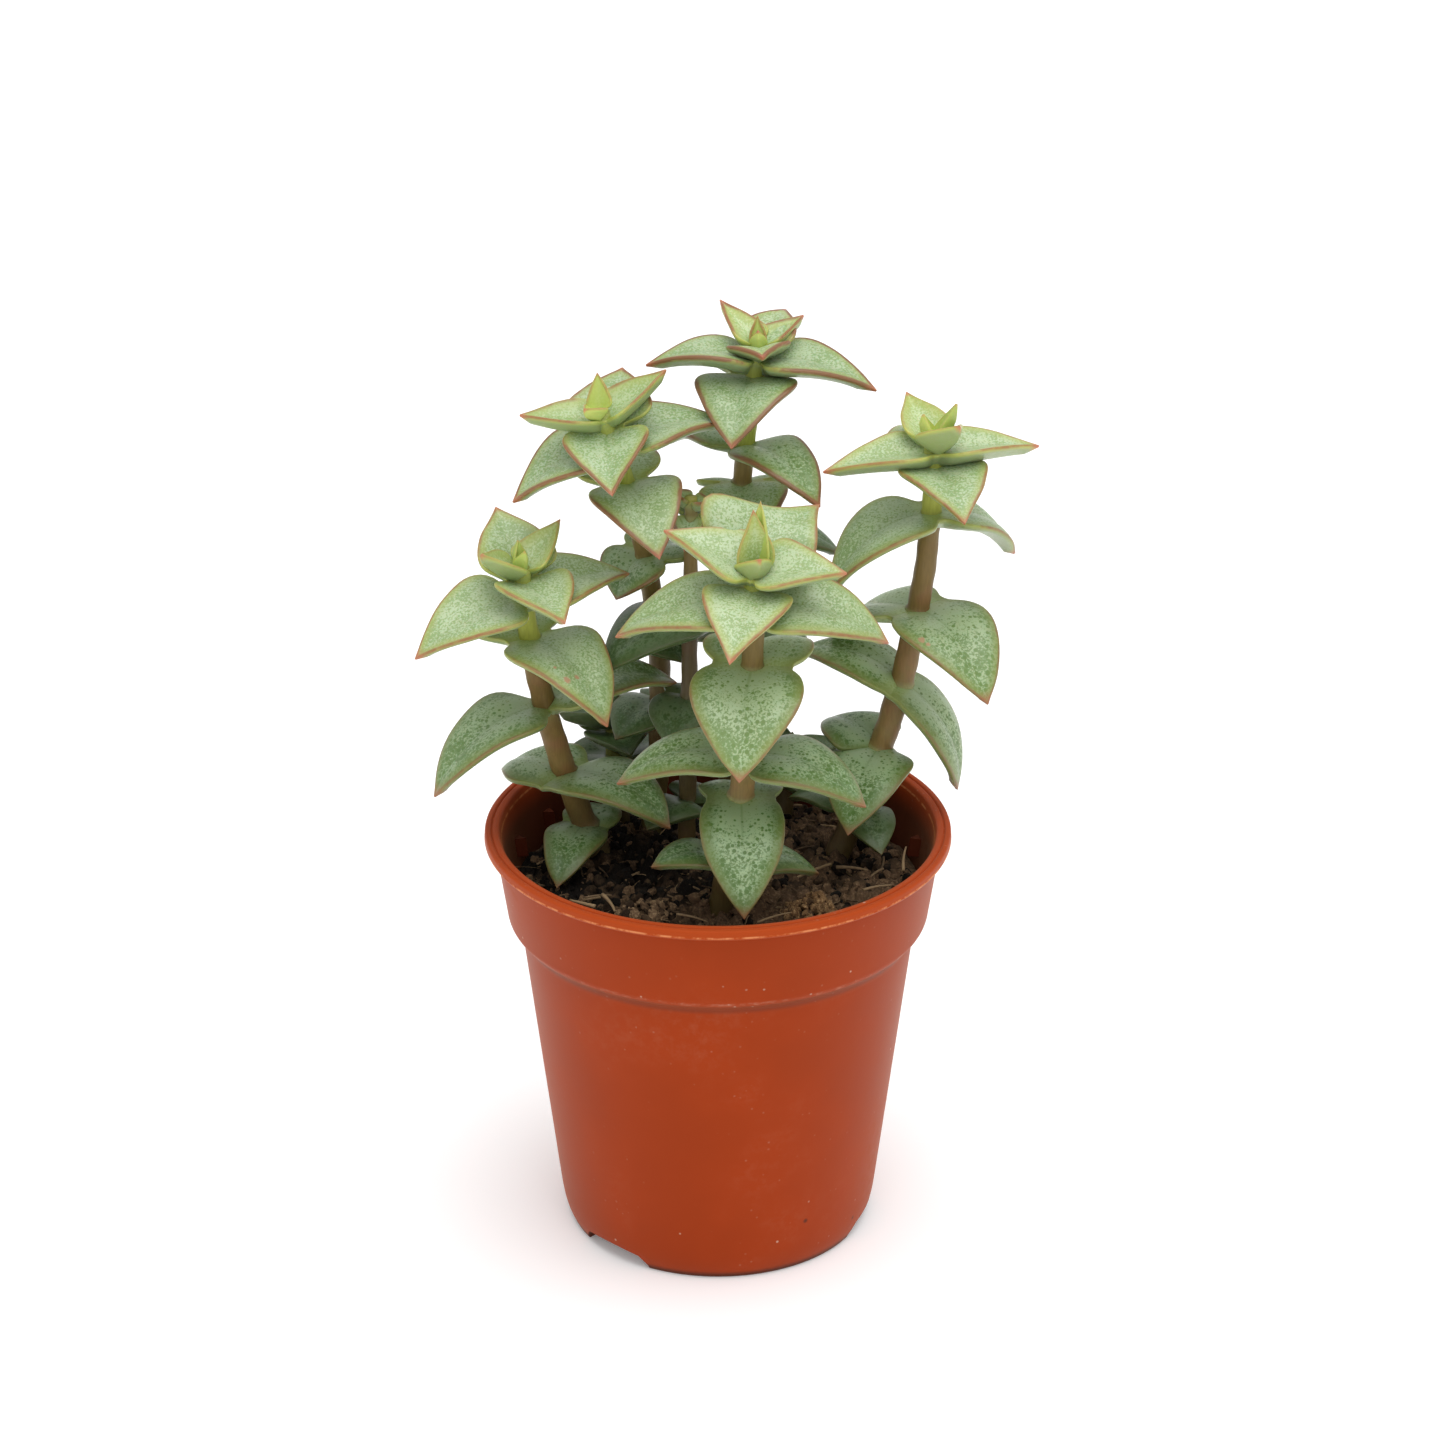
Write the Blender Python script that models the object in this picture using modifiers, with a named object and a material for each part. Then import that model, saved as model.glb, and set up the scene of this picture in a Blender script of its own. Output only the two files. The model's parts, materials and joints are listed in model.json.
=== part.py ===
"""Potted string of buttons: a small succulent in a moulded nursery pot.

The pot stands on z = 0 with its axis near the origin, and the photograph's viewer looks along +Y.
Leaves grow in opposite pairs, fused round the stem, each pair across the one below it.
"""

import math

import bmesh
import bpy
from mathutils import Matrix, Vector

MM = 0.001
GAP = 0.3 * MM
WELD = 0.001 * MM

# The pot's axis stands beside the origin, so that the whole plant is centred on it
POT_AXIS_X = -1.3 * MM

# Pot
POT_SIDES = 40
POT_HEIGHT = 51.2 * MM
RIM_RADIUS = 27.5 * MM
BEAD_HEIGHT = 1.3 * MM
BEAD_ROUND = 0.6 * MM
BEAD_STEPS = 3
RIM_LIP = 1.7 * MM
RIM_LIP_DROP = 0.3 * MM
COLLAR_TOP_RADIUS = 26.3 * MM
COLLAR_FOOT_RADIUS = 24.9 * MM
COLLAR_FOOT_Z = 40.3 * MM
COLLAR_BEVEL = 0.4 * MM
LEDGE_RADIUS = 23.4 * MM
LEDGE_Z = 39.0 * MM
BASE_RADIUS = 18.7 * MM
CORNER_RADIUS = 17.9 * MM
CORNER_HEIGHT = 2.2 * MM
CORNER_ROUND = 0.3 * MM
WALL = 0.9 * MM
FOOT_WIDTH = 1.0 * MM
FOOT_DRAFT = 0.3 * MM
FLOOR_UNDERSIDE_Z = 2.0 * MM
FLOOR_THICKNESS = 1.0 * MM
FLOOR_FILLET = 1.0 * MM

NOTCH_ANGLES = (-43.6, 76.4, 196.4)
NOTCH_RISE = 1.6 * MM
NOTCH_HALF_WIDTH = 4.0 * MM
NOTCH_DEPTH = 8.0 * MM
NOTCH_SIDES = 16

DRAIN_HOLE_RADIUS = 1.7 * MM
DRAIN_HOLE_DEPTH = 4.0 * MM
DRAIN_RING_RADIUS = 11.5 * MM
DRAIN_HOLES = 6
HOLE_SIDES = 10

LUG_COUNT = 19
LUG_RADIUS = 1.1 * MM
LUG_FOOT_Z = 44.3 * MM
LUG_HEIGHT = 2.3 * MM

# Soil
SOIL_SIDES = 32
SOIL_RINGS = 5
SOIL_Z = 45.2 * MM
SOIL_EDGE_DROP = 1.6 * MM
SOIL_BUMP = 0.7 * MM
SOIL_EDGE_CALM = 0.75
SOIL_TOP_RADIUS = 24.0 * MM
SOIL_EDGE_Z = COLLAR_FOOT_Z + 0.8 * MM
SOIL_LEDGE_Z = LEDGE_Z - 1.0 * MM
SOIL_CORNER = 1.5 * MM
ROOT_DEPTH = 7.0 * MM
HOLE_ABOVE = 3.0 * MM

# Waves of the soil surface: radians per millimetre and phase across, then along, and the height
SOIL_WAVES = (
    (0.28, 1.7, 0.26, 0.9, 1.00),
    (0.63, 3.4, 0.48, 1.8, 0.50),
    (1.04, 5.1, 0.67, 2.7, 0.33),
    (1.52, 6.8, 0.82, 3.6, 0.25),
)

# Stems
STEM_BASE_RADIUS = 1.5 * MM
STEM_TOP_RADIUS = 1.0 * MM
STEM_STEPS = 9
STEM_TOP_BELOW_CROWN = 0.5 * MM

# Leaf outline: places along the leaf, and the half width there as a share of the widest. A leaf
# whose partner isn't opposite is drawn in at its heel.
PLACES = (0.00, 0.10, 0.28, 0.54, 0.80, 1.00)
YOUNG_OUTLINE = (0.22, 0.76, 1.00, 0.74, 0.32, 0.00)
OLD_OUTLINE = (0.75, 0.88, 1.00, 0.84, 0.46, 0.00)
LEAF_EDGE = 0.7 * MM
LEAF_THICKNESS = 2.0 * MM
FULL_LENGTH = 15.0 * MM
SMALL_LEAF_THICKNESS = 0.45
TIP_THINNING = 0.45
EDGE_SHARE = 0.75
EDGE_INSET = 0.35
EDGE_INSET_LIMIT = 0.2
TIP_DROP = 0.3
HEEL_DROP = 0.5 * MM
NEAR_STEP = 0.1
FAR_STEP = 0.3
OPPOSITE_LIMIT = 140
LONE_SHARES = (0.45, 0.85, 1.0, 1.0, 1.0)
SECTION_POINTS = 6
UPPER_POINTS = 3

# Growth by age, youngest pair first: curl of the midrib in degrees, cup of the upper side, share
# of the old outline, and half width where a pair is fused as a share of the widest
AGE_CURL = (12, 8, -20, -52, -70, -75, -75, -75, -75)
AGE_CUP = (0.50, 0.45, 0.28, 0.15, 0.08, 0.05, -0.05, -0.05, -0.05)
AGE_RIPE = (0.3, 0.2, 0.0, 0.0, 0.5, 0.8, 1.0, 1.0, 1.0)
AGE_NECK = (0.60, 0.40, 0.24, 0.24, 0.50, 0.72, 0.80, 0.80, 0.80)

# Each shoot: its root and crown, the bow of its stem halfway up, the tilt of its crown and the
# azimuth that it tilts to, the girth of its stem, and its leaf pairs from the crown down with
# the age of each. A pair has its height and breadth, then each leaf's azimuth (0 faces the
# viewer, 90 is +X), length and rise from level.
SHOOTS = {
    "shoot_front": {
        "root": (0.3, -9.6), "crown": (4.0, -14.0, 90.0), "bow": (1.2, -0.3), "tilt": (16, 5),
        "girth": 1.0, "ages": (0, 1, 2, 3, 4, 5, 6, 7, 8),
        "pairs": (
            (89.2, 3.2, (-15, 1.8, 62), (165, 9.6, 77)),
            (89.4, 4.4, (12, 5.0, 58), (190, 8.6, 80)),
            (88.9, 9.5, (-108, 11.3, 18), (80, 10.7, 11)),
            (87.2, 10.4, (-13, 13.0, -7), (147, 14.8, 14)),
            (84.8, 12.3, (-88, 17.1, -14), (86, 16.8, -14)),
            (77.5, 12.8, (-7, 15.7, -35), (172, 14.3, -22)),
            (65.9, 12.0, (-83, 16.3, -11), (70, 16.3, -16)),
            (60.5, 10.0, (2, 16.3, -43), (180, 12.7, -31)),
            (51.8, 9.5, (-66, 10.8, 6), (96, 11.5, -13)),
        ),
    },
    "shoot_left": {
        "root": (-14.5, 5.5), "crown": (-22.6, -2.0, 85.0), "bow": (-1.6, 0.4), "tilt": (10, 30),
        "girth": 1.0, "ages": (0, 1, 2, 3, 4, 5, 6, 7),
        "pairs": (
            (84.9, 2.0, (30, 2.7, 74), (-150, 3.2, 75)),
            (84.1, 5.0, (-56, 6.8, 36), (142, 8.0, 34)),
            (83.0, 9.6, (30, 10.8, 2), (-158, 10.7, 25)),
            (80.4, 12.0, (-62, 15.0, -20), (115, 13.8, 5)),
            (75.2, 12.5, (42, 16.3, -22), (-146, 13.8, -13)),
            (65.8, 11.5, (-58, 18.3, -29), (105, 17.3, 4)),
            (56.3, 11.5, (57, 16.5, -13), (-132, 11.0, -14)),
            (49.0, 7.5, (-19, 11.3, -23), (158, 6.3, -2)),
        ),
    },
    "shoot_right": {
        "root": (14.4, 5.0), "crown": (24.7, 4.0, 98.2), "bow": (3.0, 1.4), "tilt": (3, 0),
        "girth": 1.0, "ages": (0, 1, 2, 3, 4, 5, 6, 7, 8),
        "pairs": (
            (98.2, 2.2, (-100, 3.3, 69), (96, 5.0, 61)),
            (97.4, 6.0, (32, 6.7, 41), (-160, 9.2, 21)),
            (96.5, 9.5, (-80, 13.1, -6), (102, 12.6, -1)),
            (94.7, 10.6, (16, 12.1, -11), (-162, 11.3, 4)),
            (88.9, 12.0, (-66, 16.3, -31), (114, 14.2, -33)),
            (76.4, 12.2, (35, 16.5, -28), (-134, 16.6, -33)),
            (67.2, 10.5, (-112, 14.5, 7), (74, 16.3, -62)),
            (58.7, 10.5, (-20, 14.7, -27), (-140, 10.5, 1)),
            (51.0, 7.0, (-122, 10.7, -8), (18, 9.4, -17)),
        ),
    },
    "shoot_back_left": {
        "root": (-8.0, 12.0), "crown": (-13.4, 2.0, 102.3), "bow": (3.3, 3.0), "tilt": (10, -30),
        "girth": 0.9, "ages": (0, 1, 2, 3, 4, 5, 6, 7),
        "pairs": (
            (102.2, 3.0, (-30, 3.8, 35), (178, 4.6, 68)),
            (101.1, 7.0, (-84, 9.6, 13), (114, 9.2, 27)),
            (99.8, 9.8, (3, 11.1, -14), (170, 10.7, 14)),
            (97.5, 11.5, (-68, 13.8, -17), (108, 14.8, -1)),
            (92.4, 10.8, (18, 13.8, -19), (-160, 12.8, -10)),
            (82.4, 10.0, (-46, 7.0, -42), (134, 7.5, -18)),
            (71.8, 8.5, (40, 6.4, -25), (-135, 7.9, -20)),
            (62.2, 9.0, (-48, 8.4, -23), (138, 5.3, -24)),
        ),
    },
    "shoot_tall": {
        "root": (1.5, 18.0), "crown": (4.7, 13.0, 106.0), "bow": (-1.2, 0.8), "tilt": (3, -40),
        "girth": 0.9, "ages": (0, 1, 3, 3, 4, 5, 4, 7, 8, 8),
        "pairs": (
            (106.0, 2.2, (0, 2.8, 71), (180, 3.8, 71)),
            (106.0, 4.6, (-142, 8.1, 30), (124, 6.9, 22)),
            (105.5, 7.4, (5, 6.8, 17), (158, 9.6, 12)),
            (104.3, 10.4, (-80, 13.5, 4), (75, 15.0, -10)),
            (102.4, 11.8, (-14, 13.3, -20), (166, 12.9, -16)),
            (93.5, 9.6, (38, 15.3, -14), (-128, 14.0, -11)),
            (88.6, 10.4, (6, 11.2, -32), (186, 5.5, -39)),
            (82.1, 10.0, (80, 13.6, -9), (-100, 6.4, -21)),
            (75.3, 9.0, (-12, 8.5, -32), (168, 6.4, -23)),
            (69.9, 9.0, (84, 11.6, -20), (-96, 6.4, -23)),
        ),
    },
    "shoot_inner": {
        "root": (-3.8, 4.0), "crown": (-3.1, 5.0, 91.2), "bow": (0.1, 0.0), "tilt": (6, 60),
        "girth": 0.7, "ages": (1, 2, 6, 6, 7, 8),
        "pairs": (
            (90.0, 3.0, (78, 2.8, 16), (-102, 2.7, 32)),
            (88.4, 4.0, (-8, 4.8, -35), (172, 3.8, 5)),
            (76.4, 11.5, (-53, 14.2, -20), (127, 6.2, -20)),
            (65.9, 8.5, (-28, 7.5, -36), (150, 5.8, -23)),
            (58.2, 8.0, (-80, 5.6, -12), (100, 5.3, -22)),
            (52.5, 8.5, (-40, 8.0, -10), (140, 6.0, -10)),
        ),
    },
    "shoot_back_right": {
        "root": (8.0, 17.5), "crown": (8.2, 18.2, 52.3), "bow": (0.1, 0.1), "tilt": (6, 150),
        "girth": 0.8, "ages": (0, 1, 2),
        "pairs": (
            (52.0, 3.0, (20, 4.0, 62), (200, 4.0, 62)),
            (51.2, 6.0, (-70, 5.0, 14), (98, 9.0, 16)),
            (49.8, 8.0, (15, 6.5, -2), (195, 4.0, 24)),
        ),
    },
    "shoot_back": {
        "root": (-12.0, 15.5), "crown": (-12.5, 16.0, 59.0), "bow": (-0.3, 0.3), "tilt": (14, 215),
        "girth": 0.8, "ages": (0, 1, 2, 3),
        "pairs": (
            (58.6, 3.0, (20, 4.5, 62), (200, 4.5, 62)),
            (57.6, 6.0, (-70, 7.0, 18), (110, 5.0, 14)),
            (55.8, 8.5, (15, 8.0, -2), (195, 7.0, 14)),
            (52.6, 8.0, (-75, 7.7, -2), (105, 9.5, 4)),
        ),
    },
}

SHOOT_COLOURS = {
    "shoot_front": (0.30, 0.46, 0.22, 1.0),
    "shoot_left": (0.27, 0.44, 0.22, 1.0),
    "shoot_right": (0.28, 0.43, 0.23, 1.0),
    "shoot_back_left": (0.26, 0.42, 0.24, 1.0),
    "shoot_tall": (0.27, 0.41, 0.21, 1.0),
    "shoot_inner": (0.20, 0.33, 0.16, 1.0),
    "shoot_back_right": (0.24, 0.38, 0.20, 1.0),
    "shoot_back": (0.24, 0.38, 0.20, 1.0),
}
POT_COLOUR = (0.34, 0.048, 0.018, 1.0)
SOIL_COLOUR = (0.030, 0.018, 0.011, 1.0)


def clear_scene():
    """Remove every object, so that the script starts from an empty scene."""
    for old in list(bpy.data.objects):
        bpy.data.objects.remove(old, do_unlink=True)


def new_collection(name):
    """Add a collection to the scene."""
    group = bpy.data.collections.new(name)
    bpy.context.scene.collection.children.link(group)
    return group


def principled(name, colour, roughness):
    """A plain finish."""
    material = bpy.data.materials.new(name)
    material.use_nodes = True
    shader = material.node_tree.nodes["Principled BSDF"]
    shader.inputs["Base Color"].default_value = colour
    shader.inputs["Roughness"].default_value = roughness
    shader.inputs["Metallic"].default_value = 0.0
    return material


def add_object(name, mesh, group):
    """Put a mesh in a collection as a named object."""
    thing = bpy.data.objects.new(name, mesh)
    group.objects.link(thing)
    return thing


def evaluated_mesh(thing):
    """The mesh of an object after its modifiers, or of a curve, with its seams welded."""
    bpy.context.view_layer.update()
    graph = bpy.context.evaluated_depsgraph_get()
    mesh = bpy.data.meshes.new_from_object(thing.evaluated_get(graph))
    shape = bmesh.new()
    shape.from_mesh(mesh)
    bmesh.ops.remove_doubles(shape, verts=shape.verts, dist=WELD)
    shape.to_mesh(mesh)
    shape.free()
    return mesh


def smooth_by_angle(mesh, degrees):
    """Shade a mesh smooth, with its sharp edges kept."""
    mesh.shade_smooth()
    mesh.set_sharp_from_angle(angle=math.radians(degrees))


def turned_mesh(name, profile, sides, group):
    """Turn a profile of (radius, z) points round the Z axis."""
    mesh = bpy.data.meshes.new(name)
    points = [(radius, 0.0, z) for radius, z in profile]
    edges = [(i, i + 1) for i in range(len(points) - 1)]
    mesh.from_pydata(points, edges, [])
    blank = add_object(name + "_profile", mesh, group)
    screw = blank.modifiers.new("Turn", "SCREW")
    screw.steps = sides
    screw.render_steps = sides
    screw.use_merge_vertices = True
    screw.merge_threshold = WELD
    turned = evaluated_mesh(blank)
    bpy.data.objects.remove(blank, do_unlink=True)
    return turned


def combine(target, group, operation):
    """Join a collection on to an object, or cut it away, and remove the collection's objects."""
    boolean = target.modifiers.new("Combine", "BOOLEAN")
    boolean.operation = operation
    boolean.operand_type = "COLLECTION"
    boolean.collection = group
    boolean.solver = "EXACT"
    mesh = evaluated_mesh(target)
    target.modifiers.clear()
    target.data = mesh
    for piece in list(group.objects):
        bpy.data.objects.remove(piece, do_unlink=True)


def hide_cutter(cutter):
    """Show a cutter as wire and leave it out of renders."""
    cutter.hide_render = True
    cutter.display_type = "WIRE"


def add_cylinder(name, radius, depth, sides, centre, group, axis=None, stretch=1.0):
    """Add a capped cylinder as a cutter, on Z or on another axis, and stretched across its X."""
    shape = bmesh.new()
    bmesh.ops.create_cone(shape, cap_ends=True, segments=sides, radius1=radius,
                          radius2=radius, depth=depth)
    place = Matrix.Translation(centre)
    if axis is not None:
        place = place @ axis.to_track_quat("Z", "Y").to_matrix().to_4x4()
    shape.transform(place @ Matrix.Diagonal((stretch, 1.0, 1.0, 1.0)))
    mesh = bpy.data.meshes.new(name)
    shape.to_mesh(mesh)
    shape.free()
    hide_cutter(add_object(name, mesh, group))


def inner_wall_radius(z):
    """Radius of the pot's inner wall at a height."""
    if z >= COLLAR_FOOT_Z:
        share = (z - COLLAR_FOOT_Z) / (POT_HEIGHT - BEAD_HEIGHT - COLLAR_FOOT_Z)
        outer = COLLAR_FOOT_RADIUS + (COLLAR_TOP_RADIUS - COLLAR_FOOT_RADIUS) * share
    else:
        outer = BASE_RADIUS + (LEDGE_RADIUS - BASE_RADIUS) * z / LEDGE_Z
    return outer - WALL


def pot_profile():
    """Radius and height down the inside, over the floor's edge, up to the rim and down again."""
    floor_z = FLOOR_UNDERSIDE_Z + FLOOR_THICKNESS
    bead_z = POT_HEIGHT - BEAD_HEIGHT
    inside = [
        (0.0, floor_z),
        (inner_wall_radius(floor_z) - FLOOR_FILLET, floor_z),
        (inner_wall_radius(floor_z + FLOOR_FILLET), floor_z + FLOOR_FILLET),
        (inner_wall_radius(LEDGE_Z - COLLAR_BEVEL), LEDGE_Z - COLLAR_BEVEL),
        (COLLAR_FOOT_RADIUS - WALL, COLLAR_FOOT_Z),
        (inner_wall_radius(bead_z), bead_z),
        (RIM_RADIUS - RIM_LIP, POT_HEIGHT - RIM_LIP_DROP),
    ]
    bead = []
    for step in range(BEAD_STEPS + 1):
        angle = math.radians(90 - 150 * step / BEAD_STEPS)
        bead.append((RIM_RADIUS - BEAD_ROUND + BEAD_ROUND * math.cos(angle),
                     POT_HEIGHT - 0.5 * BEAD_HEIGHT * (1.0 - math.sin(angle))))
    outside = [
        (COLLAR_TOP_RADIUS, bead_z - COLLAR_BEVEL),
        (COLLAR_FOOT_RADIUS, COLLAR_FOOT_Z + COLLAR_BEVEL),
        (COLLAR_FOOT_RADIUS - COLLAR_BEVEL, COLLAR_FOOT_Z - 0.5 * COLLAR_BEVEL),
        (LEDGE_RADIUS, LEDGE_Z),
        (BASE_RADIUS + CORNER_ROUND, CORNER_HEIGHT),
        (BASE_RADIUS - 0.5 * CORNER_ROUND, 0.45 * CORNER_HEIGHT),
        (CORNER_RADIUS, 0.0),
    ]
    foot = [
        (CORNER_RADIUS - FOOT_WIDTH, 0.0),
        (CORNER_RADIUS - FOOT_WIDTH - FOOT_DRAFT, FLOOR_UNDERSIDE_Z),
        (0.0, FLOOR_UNDERSIDE_Z),
    ]
    return inside + bead + outside + foot


def add_lug(angle, group):
    """One stacking lug on the inner wall: a three-sided rib with its ridge inward."""
    shape = bmesh.new()
    bmesh.ops.create_cone(shape, cap_ends=True, segments=3, radius1=LUG_RADIUS,
                          radius2=LUG_RADIUS, depth=LUG_HEIGHT)
    middle_z = LUG_FOOT_Z + 0.5 * LUG_HEIGHT
    reach = inner_wall_radius(middle_z) + 0.5 * WALL - 0.5 * LUG_RADIUS
    lean = Matrix.Identity(4)
    lean[0][2] = (COLLAR_TOP_RADIUS - COLLAR_FOOT_RADIUS) / (POT_HEIGHT - COLLAR_FOOT_Z)
    shift = Matrix.Translation((reach, 0.0, middle_z))
    inward = Matrix.Rotation(math.radians(90), 4, "Z")
    shape.transform(Matrix.Rotation(angle, 4, "Z") @ shift @ lean @ inward)
    mesh = bpy.data.meshes.new("lug")
    shape.to_mesh(mesh)
    shape.free()
    hide_cutter(add_object("lug", mesh, group))


def build_pot(group, cutters):
    """Moulded pot with its stacking lugs, drain holes and foot notches."""
    pot = add_object("pot", turned_mesh("pot", pot_profile(), POT_SIDES, group), group)
    for index in range(LUG_COUNT):
        add_lug(math.tau * (0.25 + index / LUG_COUNT), cutters)
    combine(pot, cutters, "UNION")

    centres = [(0.0, 0.0, FLOOR_UNDERSIDE_Z)]
    for index in range(DRAIN_HOLES):
        angle = math.tau * index / DRAIN_HOLES
        centres.append((DRAIN_RING_RADIUS * math.cos(angle), DRAIN_RING_RADIUS * math.sin(angle),
                        FLOOR_UNDERSIDE_Z))
    for centre in centres:
        add_cylinder("drain", DRAIN_HOLE_RADIUS, DRAIN_HOLE_DEPTH, HOLE_SIDES, centre, cutters)
    for degrees in NOTCH_ANGLES:
        angle = math.radians(degrees)
        outward = Vector((math.sin(angle), -math.cos(angle), 0.0))
        add_cylinder("notch", NOTCH_RISE, NOTCH_DEPTH, NOTCH_SIDES, outward * BASE_RADIUS, cutters,
                     axis=outward, stretch=NOTCH_HALF_WIDTH / NOTCH_RISE)
    combine(pot, cutters, "DIFFERENCE")
    smooth_by_angle(pot.data, 35)
    pot.data.materials.append(principled("pot_plastic", POT_COLOUR, 0.45))


def soil_height(x, y):
    """Height of the uneven soil surface."""
    bump = 0.0
    for pitch_x, phase_x, pitch_y, phase_y, height in SOIL_WAVES:
        across = math.sin(pitch_x * x / MM + phase_x)
        bump += height * across * math.cos(pitch_y * y / MM + phase_y)
    radius = math.hypot(x, y) / SOIL_TOP_RADIUS
    bump *= SOIL_BUMP * (1.0 - SOIL_EDGE_CALM * radius ** 2)
    return SOIL_Z + bump - SOIL_EDGE_DROP * radius ** 3


def build_soil(group, cutters):
    """Peat plug with an uneven top and a plain hole for each stem."""
    floor_z = FLOOR_UNDERSIDE_Z + FLOOR_THICKNESS
    profile = [(0.0, SOIL_Z)]
    for ring in range(1, SOIL_RINGS + 1):
        profile.append((SOIL_TOP_RADIUS * ring / SOIL_RINGS, SOIL_Z))
    profile += [
        (inner_wall_radius(SOIL_EDGE_Z) - 1.5 * GAP, SOIL_EDGE_Z),
        (inner_wall_radius(SOIL_LEDGE_Z) - GAP, SOIL_LEDGE_Z),
        (inner_wall_radius(floor_z + SOIL_CORNER) - GAP, floor_z + SOIL_CORNER),
        (inner_wall_radius(floor_z) - SOIL_CORNER, floor_z + GAP),
        (0.0, floor_z + GAP),
    ]
    soil = add_object("soil", turned_mesh("soil", profile, SOIL_SIDES, group), group)
    for vertex in soil.data.vertices:
        if vertex.co.z > SOIL_Z - GAP:
            vertex.co.z = soil_height(vertex.co.x, vertex.co.y)
    for shoot in SHOOTS.values():
        lowest = stem_point(shoot, SOIL_Z - ROOT_DEPTH) - Vector((0.0, 0.0, GAP))
        highest = stem_point(shoot, SOIL_Z + HOLE_ABOVE)
        axis = highest - lowest
        add_cylinder("stem_hole", STEM_BASE_RADIUS * shoot["girth"] + GAP, axis.length,
                     HOLE_SIDES, 0.5 * (highest + lowest), cutters, axis=axis)
    combine(soil, cutters, "DIFFERENCE")
    soil.data.materials.append(principled("peat", SOIL_COLOUR, 0.95))


def stem_point(shoot, z):
    """Place of the stem's middle at a height."""
    root = shoot["root"]
    crown = shoot["crown"]
    bow = shoot["bow"]
    share = (z - SOIL_Z) / (crown[2] * MM - SOIL_Z)
    swell = 4.0 * share * (1.0 - share)
    if share < 0.0:
        swell = 4.0 * share
    x = root[0] + (crown[0] - root[0]) * share + bow[0] * swell
    y = root[1] + (crown[1] - root[1]) * share + bow[1] * swell
    return Vector((x * MM, y * MM, z))


def stem_radius(shoot, z):
    """Radius of the stem at a height."""
    share = min(1.0, max(0.0, (z - SOIL_Z) / (shoot["crown"][2] * MM - SOIL_Z)))
    radius = STEM_BASE_RADIUS + (STEM_TOP_RADIUS - STEM_BASE_RADIUS) * share ** 2
    return radius * shoot["girth"]


def build_stem(name, shoot, group):
    """Stem as a tapering tube from its rooted end to just under the crown."""
    curve = bpy.data.curves.new(name, "CURVE")
    curve.dimensions = "3D"
    curve.bevel_depth = 1.0
    curve.bevel_resolution = 1
    curve.render_resolution_u = 0
    curve.use_fill_caps = True
    spline = curve.splines.new("POLY")
    spline.points.add(STEM_STEPS)
    low = SOIL_Z - ROOT_DEPTH
    high = shoot["crown"][2] * MM - STEM_TOP_BELOW_CROWN
    for step, point in enumerate(spline.points):
        z = low + (high - low) * step / STEM_STEPS
        point.co = (*stem_point(shoot, z), 1.0)
        point.radius = stem_radius(shoot, z)
    tube = add_object(name + "_tube", curve, group)
    stem = add_object(name, evaluated_mesh(tube), group)
    bpy.data.objects.remove(tube, do_unlink=True)
    return stem


def crown_up(shoot, z):
    """Direction of growth at a height: upright at the root and tilted at the crown."""
    degrees, azimuth = shoot["tilt"]
    share = (z - SOIL_Z) / (shoot["crown"][2] * MM - SOIL_Z)
    tilt = math.radians(degrees) * share ** 3
    angle = math.radians(azimuth)
    return Vector((math.sin(tilt) * math.sin(angle), -math.sin(tilt) * math.cos(angle),
                   math.cos(tilt)))


def leaf_rings(node, up, leaf, breadth, age):
    """Frames along one leaf from the stem outward.

    Each frame holds the middle of the upper side, the side and up directions, the half width,
    the thickness and the cup. The midrib is an arc of a circle. The tip comes last.
    """
    azimuth, length, rise = leaf
    length *= MM
    angle = math.radians(azimuth)
    side = Vector((math.cos(angle), math.sin(angle), 0.0))
    out = side.cross(up).normalized()
    side = up.cross(out)
    curl = math.radians(AGE_CURL[age])
    start = math.radians(rise) - 0.5 * curl
    size = min(1.0, length / FULL_LENGTH)
    frames = []
    for place, young, old in zip(PLACES, YOUNG_OUTLINE, OLD_OUTLINE):
        pitch = start + curl * place
        ahead = (math.sin(pitch) - math.sin(start)) / curl
        above = (math.cos(start) - math.cos(pitch)) / curl
        middle = node + (out * ahead + up * above) * length
        rising = up * math.cos(pitch) - out * math.sin(pitch)
        share = young + (old - young) * AGE_RIPE[age] if place > 0.0 else AGE_NECK[age]
        half = 0.5 * breadth * MM * share
        thickness = LEAF_THICKNESS * (SMALL_LEAF_THICKNESS + (1.0 - SMALL_LEAF_THICKNESS) * size)
        thickness *= 1.0 - TIP_THINNING * place ** 2
        frames.append((middle, side, rising, half, thickness, AGE_CUP[age]))
    return frames


def ring_points(frame):
    """Six points round a leaf section: the upper side from left to right, then the lower."""
    middle, side, rising, half, thickness, cup = frame
    edge = min(LEAF_EDGE, EDGE_SHARE * thickness)
    inset = min(EDGE_INSET * edge, EDGE_INSET_LIMIT * half)
    lift = cup * half
    return [
        middle - side * half + rising * lift,
        middle,
        middle + side * half + rising * lift,
        middle + side * (half - inset) + rising * (lift - edge),
        middle - rising * thickness,
        middle - side * (half - inset) + rising * (lift - edge),
    ]


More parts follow.
